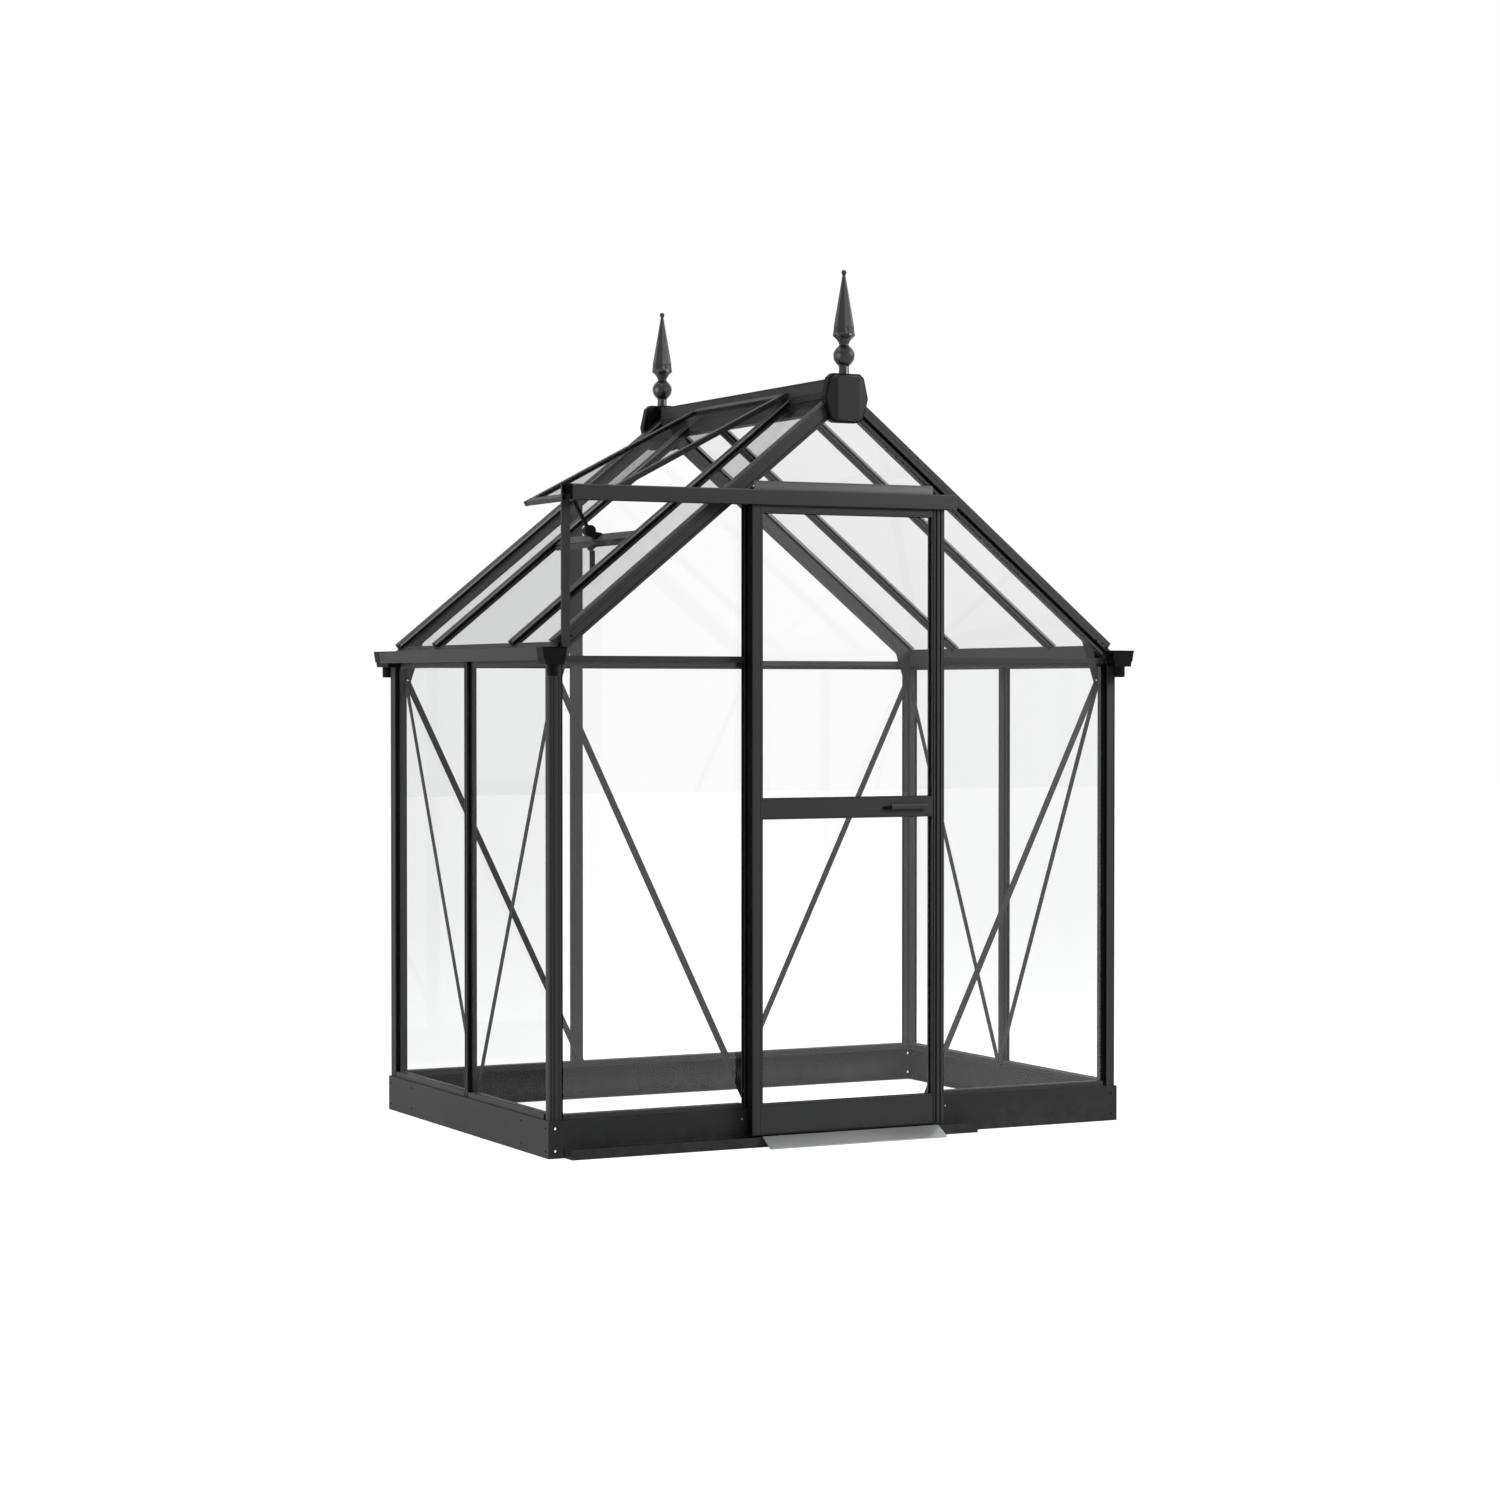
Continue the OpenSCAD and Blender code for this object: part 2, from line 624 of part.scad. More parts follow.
module roof_glass_left() color(clear_glass) house() {
    roof_side_panes();
    roof_pane(-roof_bay + web_gap, roof_bay - web_gap, pane_foot, vent_sill_s + sill_step - glass_gap);
}
module roof_glass_right() color(clear_glass) house() mirror([1, 0, 0]) {
    roof_side_panes();
    roof_pane(-roof_bay + web_gap, roof_bay - web_gap, pane_foot, pane_top);
}

// ---------- roof vent ----------
// Cross bar between two roof bars, under the vent's foot
module vent_sill() color(frame_grey) house() on_slope()
    translate([vent_sill_s, 0, 0]) along_y(-roof_bay + bar_flange_w / 2, roof_bay - bar_flange_w / 2)
        polygon([
            [0, -flange_d], [sill_step, -flange_d], [sill_step, -cap_d], [vent_sill_w, -cap_d],
            [vent_sill_w, -vent_sill_d], [0, -vent_sill_d]
        ]);

vent_rail_w = 28;
hinge_q = 20.5;
hinge_gap = 0.3;
vent_top = -(vent_t * sin(vent_pitch) + hinge_gap) / cos(vent_pitch);
module on_vent() translate([-ridge_half, 0, roof_z(half_w - ridge_half, -hinge_q)])
    rotate([0, -vent_pitch, 0]) children();
// A slab in the vent's plane that stops "edge" inside the frame's outline
module vent_slab(edge, z1, z2) on_vent()
    translate([-vent_l + edge, -vent_w / 2 + edge, z1])
        cube([vent_l + vent_top - 2 * edge, vent_w - 2 * edge, z2 - z1]);
module vent_frame() color(frame_grey) house() difference() {
    vent_slab(0, -vent_t, 0);
    vent_slab(vent_rail_w, -vent_t - 1, 1);
    vent_slab(vent_rail_w - slot_d, (-vent_t - slot_w) / 2, (-vent_t + slot_w) / 2);
}
module vent_glass() color(clear_glass) house()
    vent_slab(vent_rail_w - slot_d + glass_gap, (-vent_t - glass_t) / 2, (-vent_t + glass_t) / 2);

// Opener: a round body over the sill with an arm up to the vent's foot, and
// a cylinder that hangs from a clip on the sill's lower side
body_r = 18;
body_w = 24;
body_rise = 30;
body_u = vent_sill_s * cos_p;
body_z = roof_z(body_u, -body_rise * cos_p);
arm_half = 5;
arm_in = 25;
arm_gap = 0.3;
// The arm's end under the vent's foot rail
arm_s = -vent_l + arm_in;
arm_q = -vent_t - arm_half - arm_gap;
arm_x = -ridge_half + arm_s * cos(vent_pitch) - arm_q * sin(vent_pitch);
arm_z = roof_z(half_w - ridge_half, -hinge_q) + arm_s * sin(vent_pitch) + arm_q * cos(vent_pitch);
arm_l = norm([arm_x - body_u + half_w, arm_z - body_z]);
arm_turn = atan2(arm_z - body_z, arm_x - body_u + half_w);
seat_t = 4;
seat_q = cap_d - seat_gap;
seat_edge = 2;
seat_l = 30;
seat_s = vent_sill_s + vent_sill_w - seat_edge;
clip_l = 16;
clip_w = 30;
clip_t = 9;
piston_r = 8.5;
piston_l = 62;
piston_u = (vent_sill_s - clip_l / 2) * cos_p + vent_sill_d * sin_p;
piston_top = roof_z(piston_u, vent_sill_d) - clip_t / 2;
// A point of the left slope in (x, z): s up it and q under it
function slope_point(s, q) = [s * cos_p + q * sin_p - half_w, eave_h + s * sin_p - q * cos_p];
module vent_opener() color(trim_black) house() {
    along_y(-body_w / 2, body_w / 2) {
        translate([body_u - half_w, body_z]) circle(r = body_r);
        polygon([
            [body_u - half_w, body_z], slope_point(seat_s, seat_q - seat_t),
            slope_point(seat_s, seat_q), slope_point(seat_s - seat_l, seat_q)
        ]);
    }
    along_y(-arm_half, arm_half) translate([body_u - half_w, body_z]) rotate(arm_turn) {
        translate([0, -arm_half]) square([arm_l, 2 * arm_half]);
        translate([arm_l, 0]) circle(r = arm_half);
    }
    on_slope() translate([vent_sill_s - clip_l, -clip_w / 2, -vent_sill_d])
        cube([clip_l, clip_w, clip_t]);
    translate([piston_u - half_w, 0, piston_top - piston_l]) cylinder(r = piston_r, h = piston_l);
}

// ---------- door, its header, rail and ramp ----------
sheet_t = 3;
header_in = 45;
header_past = 34;
header_left = -half_w + header_in;
header_right = bay_w / 2 + header_past;
front_y = -half_l;
// Profiles below are drawn in (y, z) from the base's front face
runner_z = header_z + 17;
runner_w = 16;
track_back = 3;
module header_outline() polygon([
    [-track_out, header_z], [-track_out + sheet_t, header_z],
    [-track_out + sheet_t, header_top - sheet_t], [-track_back - sheet_t, header_top - sheet_t],
    [-track_back - sheet_t, runner_z], [-track_back - sheet_t - runner_w, runner_z],
    [-track_back - sheet_t - runner_w, runner_z - sheet_t], [-track_back - sheet_t, runner_z - sheet_t],
    [-track_back - sheet_t, header_z], [-track_back, header_z],
    [-track_back, header_top], [-track_out, header_top]
]);
// The header, with a packer behind it at each door post
module door_header() color(frame_grey) house() translate([0, front_y, 0]) {
    along_x(header_left, header_right) header_outline();
    mirrored_x() translate([-bay_w / 2 - bar_cap_w / 2, -track_back, header_z])
        cube([bar_cap_w, track_back + frame_inset, header_h]);
}
strut_w = 26;
strut_foot_q = 25;
strut_past = 3;
// Flat bar from the rafter's foot up behind the header's end, its foot rounded
module header_strut() color(frame_grey) house() {
    mid_x = header_left - strut_past + strut_w / 2;
    foot_z = roof_z(mid_x + half_w, strut_foot_q);
    translate([mid_x, front_y + frame_inset, 0]) rotate([90, 0, 0])
        linear_extrude(frame_inset + track_back) {
            translate([0, foot_z]) circle(r = strut_w / 2);
            translate([-strut_w / 2, foot_z]) square([strut_w, header_top - foot_z]);
        }
}
rail_h = 29;
rail_in = 50;
rail_past = 108;
module bottom_rail() color(frame_grey) house() translate([0, front_y, 0])
    along_x(-half_w + rail_in, bay_w / 2 + rail_past) polygon([
        [-track_out, 0], [0, 0], [0, rail_h], [-sheet_t, rail_h], [-sheet_t, sheet_t],
        [-track_out + sheet_t, sheet_t], [-track_out + sheet_t, rail_h], [-track_out, rail_h]
    ]);
ramp_gap = 18;
ramp_w = door_bay - ramp_gap;
ramp_shift = -8;
ramp_t = 3;
ramp_edge = 4;
ramp_toe = 6;
module ramp() color(bare_alloy) house() translate([ramp_shift, front_y, 0])
    along_x(-ramp_w / 2, ramp_w / 2) polygon([
        [-track_out, rail_h + ramp_t], [-track_out, rail_h + ramp_t - ramp_edge],
        [-ramp_out + ramp_toe, 0], [-ramp_out, 0], [-ramp_out, ramp_t]
    ]);

door_w = door_bay + 2 * door_lap;
door_shift = -7;
door_y = front_y - door_gap - door_t;
door_left = door_shift - door_w / 2;
top_rail_h = 32;
top_rail_z = door_lift + door_h - top_rail_h;
door_slot = 6;
module door_at() translate([door_left, door_y, 0]) children();
pane_w = door_w - stile_w - lead_stile_w;
kick_edge = 12;
kick_rail_h = 14;
kick_h = kick_top_z - door_lift - kick_edge - kick_rail_h;
door_panes = [[kick_top_z, mid_rail_z], [mid_rail_z + mid_rail_h, top_rail_z]];
module door_frame() color(frame_grey) house() door_at() difference() {
    translate([0, 0, door_lift]) cube([door_w, door_t, door_h]);
    for (z = door_panes) {
        translate([stile_w, -1, z[0]]) cube([pane_w, door_t + 2, z[1] - z[0]]);
        translate([stile_w - door_slot, door_t / 2 - slot_w / 2, z[0] - door_slot])
            cube([pane_w + 2 * door_slot, slot_w, z[1] - z[0] + 2 * door_slot]);
    }
    translate([stile_w, -1, door_lift + kick_edge]) cube([pane_w, door_t + 2, kick_h]);
}
module door_glass() color(clear_glass) house() door_at() for (z = door_panes)
    translate([stile_w - door_slot + glass_gap, door_t / 2 - glass_t / 2, z[0] - door_slot + glass_gap])
        cube([pane_w + 2 * (door_slot - glass_gap), glass_t, z[1] - z[0] + 2 * (door_slot - glass_gap)]);
module kick_panel() color(frame_grey) house() door_at()
    translate([stile_w, 0, door_lift + kick_edge]) cube([pane_w, sheet_t, kick_h]);

handle_l = 150;
handle_h = 18;
handle_in = 20;
handle_out = 12;
handle_t = 4;
handle_foot_in = 4;
handle_foot_w = 12;
handle_foot_h = 10;
module door_handle() color(trim_black) house() door_at()
    translate([door_w - lead_stile_w - handle_in - handle_l, 0, mid_rail_z + mid_rail_h / 2]) {
        translate([0, -handle_out, -handle_h / 2]) cube([handle_l, handle_t, handle_h]);
        for (x = [handle_foot_in, handle_l - handle_foot_in - handle_foot_w])
            translate([x, handle_t - handle_out, -handle_foot_h / 2])
                cube([handle_foot_w, handle_out - handle_t, handle_foot_h]);
    }

// Top wheels on the header's runner, and foot guides in the bottom rail
wheel_r = 9;
wheel_t = 8;
hub_r = 4;
hub_t = 7;
hanger_w = 30;
hanger_t = 3;
roll_gap = 0.3;
guide_w = 40;
guide_t = 12;
guide_gap = 5;
roller_in = 70;
module door_rollers() color(trim_black) house() door_at() for (x = [roller_in, door_w - roller_in]) {
    wheel_z = runner_z + roll_gap + wheel_r;
    hub_y = door_t - wheel_t - hub_t;
    translate([x - hanger_w / 2, hub_y - hanger_t, door_lift + door_h])
        cube([hanger_w, hanger_t, wheel_z + hub_r - door_lift - door_h]);
    translate([x, hub_y, wheel_z]) rotate([-90, 0, 0]) cylinder(r = hub_r, h = hub_t);
    translate([x, door_t - wheel_t, wheel_z]) rotate([-90, 0, 0]) cylinder(r = wheel_r, h = wheel_t);
    translate([x - guide_w / 2, (door_t - guide_t) / 2, sheet_t + guide_gap])
        cube([guide_w, guide_t, door_lift - sheet_t - guide_gap]);
}

base_left();
base_right();
base_back();
base_front();
base_brackets();
threshold();
sills();
post_front_left();
post_front_right();
post_back_left();
post_back_right();
door_posts();
back_bars();
side_bars();
front_crossbars();
back_crossbars();
eave_beam_left();
eave_beam_right();
gutter_ends();
rafters_front();
rafters_back();
roof_bars();
ridge_beam();
ridge_ends();
finials();
gussets();
side_braces();
gable_braces();
side_glass();
back_glass();
front_glass();
roof_glass_left();
roof_glass_right();
vent_sill();
vent_frame();
vent_glass();
vent_opener();
door_header();
header_strut();
bottom_rail();
ramp();
door_frame();
door_glass();
kick_panel();
door_handle();
door_rollers();
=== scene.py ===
"""Looks of the glass greenhouse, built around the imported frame.

Lengths inside the functions are millimetres: x along the door gable, y in from
the base's front face, z up from the ground. A piece turns them into metres.
"""

import json
import math

import bmesh
import bpy
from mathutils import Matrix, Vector


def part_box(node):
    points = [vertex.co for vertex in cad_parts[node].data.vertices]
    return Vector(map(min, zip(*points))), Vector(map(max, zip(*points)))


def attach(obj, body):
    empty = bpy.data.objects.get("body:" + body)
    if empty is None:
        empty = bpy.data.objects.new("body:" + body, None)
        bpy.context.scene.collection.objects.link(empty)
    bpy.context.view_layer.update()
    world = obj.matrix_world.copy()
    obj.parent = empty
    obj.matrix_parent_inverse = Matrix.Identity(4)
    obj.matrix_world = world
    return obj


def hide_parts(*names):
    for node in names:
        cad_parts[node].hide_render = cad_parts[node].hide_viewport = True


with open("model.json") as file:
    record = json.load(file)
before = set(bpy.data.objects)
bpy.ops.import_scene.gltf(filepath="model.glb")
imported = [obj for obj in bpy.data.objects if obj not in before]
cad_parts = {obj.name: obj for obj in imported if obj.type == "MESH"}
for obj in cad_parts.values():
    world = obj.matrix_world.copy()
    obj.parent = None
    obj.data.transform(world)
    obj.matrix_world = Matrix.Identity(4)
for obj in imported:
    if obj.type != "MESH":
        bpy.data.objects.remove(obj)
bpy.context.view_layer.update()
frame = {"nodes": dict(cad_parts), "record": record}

MM = 0.001

# ---------- where things are ----------
HALF_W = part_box("base_right")[1][0] / MM
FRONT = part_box("base_front")[0][1] / MM
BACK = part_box("base_back")[1][1] / MM
LENGTH = BACK - FRONT
BASE_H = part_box("base_left")[1][2] / MM
EAVE = 1465.0
EAVE_BEAM_H = 37.0
BEAM_LOW = EAVE - EAVE_BEAM_H
PITCH = math.radians(39.0)
SIN_P = math.sin(PITCH)
COS_P = math.cos(PITCH)
INSET = 6.0  # the glazed faces stand this far inside the base's faces
BAR_X = HALF_W / 3.0
MID_BAY = 610.0
ROOF_BAR_Y = LENGTH / 2.0 - MID_BAY / 2.0
UNDER_RAFTERS = 43.1  # just clear of them, square to the slope
BEHIND_RAFTERS = 43.1  # just clear of them, in from the base's end faces
PLATE_T = 3.0
RIDGE_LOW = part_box("ridge_beam")[0][2] / MM
RIDGE_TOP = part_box("ridge_beam")[1][2] / MM
COVER_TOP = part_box("ridge_ends")[1][2] / MM
DOOR_LOW = Vector(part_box("door_frame")[0]) / MM
DOOR_HIGH = Vector(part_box("door_frame")[1]) / MM


def at(x, y, z):
    return Vector((x, y, z))


RIGHT = at(1, 0, 0)
IN = at(0, 1, 0)
UP = at(0, 0, 1)


def on_roof(side, s, y, n):
    """A point s up the slope and n out of it; side is -1 left, 1 right."""
    x = side * (HALF_W - s * COS_P + n * SIN_P)
    return at(x, y, EAVE + s * SIN_P + n * COS_P)


def house_space(point):
    """Millimetres from the base's front face to the frame's metres."""
    return Vector((point.x, point.y + FRONT, point.z)) * MM


# ---------- making meshes ----------
BOX_QUADS = (
    (0, 1, 3, 2), (4, 6, 7, 5), (0, 4, 5, 1), (2, 3, 7, 6), (0, 2, 6, 4), (1, 5, 7, 3),
)
ROUNDED_FROM = math.radians(40.0)  # edges turning more than this are eased
SMOOTH_UNDER = 35.0  # degrees between faces that shade as one
WELD = 1e-5  # metres
FLAT = math.radians(1.0)
LEAN_FROM = 1.4  # metres up: what is lower leans in
BRACE_LEAN = 0.0136


def extrude(bm, outline, start, end, across, up):
    """A bar: the outline (a, b) drawn with across and up, from start to end."""
    rings = []
    for place in (start, end):
        rings.append([bm.verts.new(place + across * a + up * b) for a, b in outline])
    near, far = rings
    count = len(outline)
    for i in range(count):
        j = (i + 1) % count
        bm.faces.new((near[i], near[j], far[j], far[i]))
    bm.faces.new(near[::-1])
    bm.faces.new(far)


def cut(bm, place, normal):
    """Takes away what lies beyond the plane and closes the cut."""
    geometry = bm.verts[:] + bm.edges[:] + bm.faces[:]
    result = bmesh.ops.bisect_plane(
        bm, geom=geometry, plane_co=place, plane_no=normal, clear_outer=True
    )
    rim = [g for g in result["geom_cut"] if isinstance(g, bmesh.types.BMEdge)]
    rim = [e for e in rim if e.is_boundary]
    if rim:
        bmesh.ops.triangle_fill(bm, edges=rim, use_beauty=True)


def block(bm, low, high):
    """A box between two corners."""
    corners = [
        bm.verts.new((x, y, z))
        for x in (low[0], high[0])
        for y in (low[1], high[1])
        for z in (low[2], high[2])
    ]
    for quad in BOX_QUADS:
        bm.faces.new([corners[i] for i in quad])


def turned(bm, place, axis, profile, sides, turn=0.0):
    """A turned part: profile is (radius, height) along axis from place."""
    axis = axis.normalized()
    spare = Vector((1, 0, 0)) if abs(axis.x) < 0.9 else Vector((0, 1, 0))
    a = axis.cross(spare).normalized()
    b = axis.cross(a)
    rings = []
    for radius, height in profile:
        ring = []
        for i in range(sides):
            angle = 2 * math.pi * i / sides + turn
            way = a * math.cos(angle) + b * math.sin(angle)
            ring.append(bm.verts.new(place + axis * height + way * radius))
        rings.append(ring)
    for low, high in zip(rings, rings[1:]):
        for i in range(sides):
            j = (i + 1) % sides
            bm.faces.new((low[i], low[j], high[j], high[i]))
    bm.faces.new(rings[0][::-1])
    bm.faces.new(rings[-1])


def mirrored(bm, x_mid=None, y_mid=None):
    """Adds the mirror image across x_mid or y_mid."""
    source = bm.verts[:] + bm.edges[:] + bm.faces[:]
    copy = bmesh.ops.duplicate(bm, geom=source)
    verts = [g for g in copy["geom"] if isinstance(g, bmesh.types.BMVert)]
    for v in verts:
        if x_mid is not None:
            v.co.x = 2 * x_mid - v.co.x
        if y_mid is not None:
            v.co.y = 2 * y_mid - v.co.y
    faces = [g for g in copy["geom"] if isinstance(g, bmesh.types.BMFace)]
    bmesh.ops.reverse_faces(bm, faces=faces)


def piece(
    name, bm, finish, body="house", stands_for=(), ease=0.0, smooth=SMOOTH_UNDER
):
    """Turns a mesh in millimetres into a finished piece of the house."""
    for v in bm.verts:
        v.co = house_space(v.co)
    bmesh.ops.recalc_face_normals(bm, faces=bm.faces[:])
    return finish_mesh(name, bm, finish, body, stands_for, ease, smooth)


def new_object(name, data):
    obj = bpy.data.objects.new(name, data)
    bpy.context.collection.objects.link(obj)
    return obj


def finish_mesh(name, bm, finish, body, stands_for, ease, smooth):
    """An object from a mesh in metres, with its finish and body, hiding the CAD nodes it stands
    for.
    """
    mesh = bpy.data.meshes.new(name)
    bm.to_mesh(mesh)
    bm.free()
    mesh.materials.append(FINISH[finish])
    obj = new_object(name, mesh)
    if ease:
        bevel = obj.modifiers.new("eased_edges", "BEVEL")
        bevel.width = ease * MM
        bevel.segments = 2
        bevel.limit_method = "ANGLE"
        bevel.angle_limit = ROUNDED_FROM
        bevel.use_clamp_overlap = True
    mesh.shade_smooth()
    mesh.set_sharp_from_angle(angle=math.radians(smooth))
    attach(obj, body)
    if stands_for:
        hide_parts(*stands_for)
    return obj


def eased_copy(node, finish, ease, body="house", lean=0.0):
    """A CAD node's own shape with softly rounded edges.

    lean is how far it is drawn toward the middle for each metre under LEAN_FROM.
    """
    bm = bmesh.new()
    bm.from_mesh(frame["nodes"][node].data)
    bmesh.ops.remove_doubles(bm, verts=bm.verts[:], dist=WELD)
    bmesh.ops.dissolve_limit(bm, angle_limit=FLAT, verts=bm.verts[:], edges=bm.edges[:])
    bmesh.ops.recalc_face_normals(bm, faces=bm.faces[:])
    for v in bm.verts:
        v.co.x -= math.copysign(lean * max(0.0, LEAN_FROM - v.co.z), v.co.x)
    name = node + "_eased"
    return finish_mesh(name, bm, finish, body, (node,), ease, SMOOTH_UNDER)


# ---------- finishes ----------
def link(tree, a, b):
    tree.links.new(a, b)


def add(tree, kind, **values):
    node = tree.nodes.new(kind)
    for key, value in values.items():
        setattr(node, key, value)
    return node


def filled(node, **values):
    """Sets a node's inputs: Base_Color=... is its input Base Color."""
    for label, value in values.items():
        node.inputs[label.replace("_", " ")].default_value = value
    return node


def new_group(name, inputs, outputs):
    """A node group with its sockets: the tree, its input node, its output node."""
    tree = bpy.data.node_groups.new(name, "ShaderNodeTree")
    for label, kind, value in inputs:
        socket = tree.interface.new_socket(label, in_out="INPUT", socket_type=kind)
        socket.default_value = value
    for label, kind in outputs:
        tree.interface.new_socket(label, in_out="OUTPUT", socket_type=kind)
    return tree, tree.nodes.new("NodeGroupInput"), tree.nodes.new("NodeGroupOutput")


def math_node(tree, operation, a, b=None, clamp=False):
    """The result of a maths node on numbers or other nodes' outputs."""
    node = add(tree, "ShaderNodeMath", operation=operation, use_clamp=clamp)
    for i, value in enumerate((a, b)):
        if value is None:
            continue
        if isinstance(value, (int, float)):
            node.inputs[i].default_value = value
        else:
            link(tree, value, node.inputs[i])
    return node.outputs[0]


def ranged(tree, value, source, target):
    """value moved from the range source to the range target."""
    node = add(tree, "ShaderNodeMapRange")
    node.inputs["From Min"].default_value, node.inputs["From Max"].default_value = source
    node.inputs["To Min"].default_value, node.inputs["To Max"].default_value = target
    link(tree, value, node.inputs["Value"])
    return node.outputs[0]


def blended(tree, factor, first, second):
    """The colour between first and second at factor."""
    mix = add(tree, "ShaderNodeMix", data_type="RGBA")
    mix.inputs["A"].default_value = (*first, 1.0)
    mix.inputs["B"].default_value = (*second, 1.0)
    link(tree, factor, mix.inputs["Factor"])
    return mix.outputs["Result"]


def raise_relief(tree, shader, height, strength, distance):
    """Gives the shader a bump from height."""
    relief = filled(add(tree, "ShaderNodeBump"), Strength=strength, Distance=distance)
    link(tree, height, relief.inputs["Height"])
    link(tree, relief.outputs["Normal"], shader.inputs["Normal"])


def mixed_shader(tree, factor, first, second):
    mix = add(tree, "ShaderNodeMixShader")
    link(tree, factor, mix.inputs[0])
    link(tree, first.outputs[0], mix.inputs[1])
    link(tree, second.outputs[0], mix.inputs[2])
    return mix


def new_material(name):
    material = bpy.data.materials.new(name)
    material.use_nodes = True
    tree = material.node_tree
    return material, tree, tree.nodes["Principled BSDF"]


def make_coat_grain():
    """Fine orange peel and slow drift of a sprayed or moulded surface."""
    tree, inp, out = new_group(
        "coat_grain",
        [("Grain Scale", "NodeSocketFloat", 700.0), ("Drift Scale", "NodeSocketFloat", 3.0)],
        [("Grain", "NodeSocketFloat"), ("Drift", "NodeSocketFloat")],
    )
    coords = add(tree, "ShaderNodeTexCoord")
    for label, detail in (("Grain", 2.0), ("Drift", 4.0)):
        noise = filled(add(tree, "ShaderNodeTexNoise"), Detail=detail)
        link(tree, coords.outputs["Object"], noise.inputs["Vector"])
        link(tree, inp.outputs[label + " Scale"], noise.inputs["Scale"])
        link(tree, noise.outputs["Fac"], out.inputs[label])
    return tree


def make_settled_dust():
    """Pale dust on upward faces and near the ground, broken up by noise."""
    tree, inp, out = new_group(
        "settled_dust",
        [
            ("Clean", "NodeSocketColor", (0.05, 0.05, 0.05, 1.0)),
            ("Dust", "NodeSocketColor", (0.25, 0.24, 0.22, 1.0)),
            ("Amount", "NodeSocketFloat", 0.1),
        ],
        [("Color", "NodeSocketColor"), ("Mask", "NodeSocketFloat")],
    )
    geometry = add(tree, "ShaderNodeNewGeometry")
    coords = add(tree, "ShaderNodeTexCoord")
    normal = add(tree, "ShaderNodeSeparateXYZ")
    link(tree, geometry.outputs["Normal"], normal.inputs[0])
    upward = math_node(tree, "MAXIMUM", normal.outputs["Z"], 0.0)
    place = add(tree, "ShaderNodeSeparateXYZ")
    link(tree, coords.outputs["Object"], place.inputs[0])
    low = ranged(tree, place.outputs["Z"], (0.0, 0.09), (0.7, 0.0))
    noise = filled(add(tree, "ShaderNodeTexNoise"), Scale=22.0, Detail=6.0)
    link(tree, coords.outputs["Object"], noise.inputs["Vector"])
    spots = ranged(tree, noise.outputs["Fac"], (0.4, 0.75), (0.0, 1.0))
    both = math_node(tree, "MAXIMUM", upward, low)
    mask = math_node(tree, "MULTIPLY", both, spots)
    mask = math_node(tree, "MULTIPLY", mask, inp.outputs["Amount"], clamp=True)
    mix = add(tree, "ShaderNodeMix", data_type="RGBA")
    link(tree, mask, mix.inputs["Factor"])
    link(tree, inp.outputs["Clean"], mix.inputs["A"])
    link(tree, inp.outputs["Dust"], mix.inputs["B"])
    link(tree, mix.outputs["Result"], out.inputs["Color"])
    link(tree, mask, out.inputs["Mask"])
    return tree


def make_die_lines():
    """Fine lines that an extruding die or a roll leaves along a bar."""
    tree, inp, out = new_group(
        "die_lines",
        [("Across", "NodeSocketVector", (400.0, 400.0, 2.0))],
        [("Lines", "NodeSocketFloat")],
    )
    coords = add(tree, "ShaderNodeTexCoord")
    scale = add(tree, "ShaderNodeVectorMath", operation="MULTIPLY")
    link(tree, coords.outputs["Object"], scale.inputs[0])
    link(tree, inp.outputs["Across"], scale.inputs[1])
    noise = filled(add(tree, "ShaderNodeTexNoise"), Scale=1.0, Detail=3.0)
    link(tree, scale.outputs[0], noise.inputs["Vector"])
    link(tree, noise.outputs["Fac"], out.inputs["Lines"])
    return tree


GRAIN = make_coat_grain()
DUST = make_settled_dust()
DIE_LINES = make_die_lines()


def use_group(tree, group, **values):
    return filled(add(tree, "ShaderNodeGroup", node_tree=group), **values)


def coated(
    name, dark, light, rough, rough_spread, specular, dust, bump, grain_scale=700.0
):
    """A sprayed, moulded or rolled surface with grain, drift and dust."""
    material, tree, shader = new_material(name)
    filled(shader, Specular_IOR_Level=specular)
    grain = use_group(tree, GRAIN, Grain_Scale=grain_scale, Drift_Scale=2.5)
    drift = grain.outputs["Drift"]
    dusty = use_group(tree, DUST, Amount=dust)
    link(tree, blended(tree, drift, dark, light), dusty.inputs["Clean"])
    link(tree, dusty.outputs["Color"], shader.inputs["Base Color"])
    spread = ranged(tree, drift, (0.0, 1.0), (rough - rough_spread, rough + rough_spread))
    rougher = math_node(tree, "ADD", spread, dusty.outputs["Mask"], clamp=True)
    link(tree, rougher, shader.inputs["Roughness"])
    raise_relief(tree, shader, grain.outputs["Grain"], bump, 0.0002)
    return material


def rolled_alloy(name, dark, light, rough, lines):
    """Bare aluminium with the lines of the roll along it."""
    material, tree, shader = new_material(name)
    filled(shader, Metallic=0.85)
    along = use_group(tree, DIE_LINES, Across=lines).outputs["Lines"]
    grain = use_group(tree, GRAIN, Grain_Scale=350.0, Drift_Scale=5.0)
    blend = math_node(tree, "MULTIPLY", along, grain.outputs["Drift"])
    blend = math_node(tree, "MULTIPLY", blend, 2.6, clamp=True)
    dusty = use_group(tree, DUST, Amount=0.15, Dust=(0.3, 0.29, 0.27, 1.0))
    link(tree, blended(tree, blend, dark, light), dusty.inputs["Clean"])
    link(tree, dusty.outputs["Color"], shader.inputs["Base Color"])
    spread = ranged(tree, along, (0.0, 1.0), (rough - 0.08, rough + 0.08))
    link(tree, spread, shader.inputs["Roughness"])
    raise_relief(tree, shader, along, 0.25, 0.0001)
    return material


GLASS_IOR = 1.5
LOST_LIGHT = (0.03, 0.03, 0.03, 1.0)


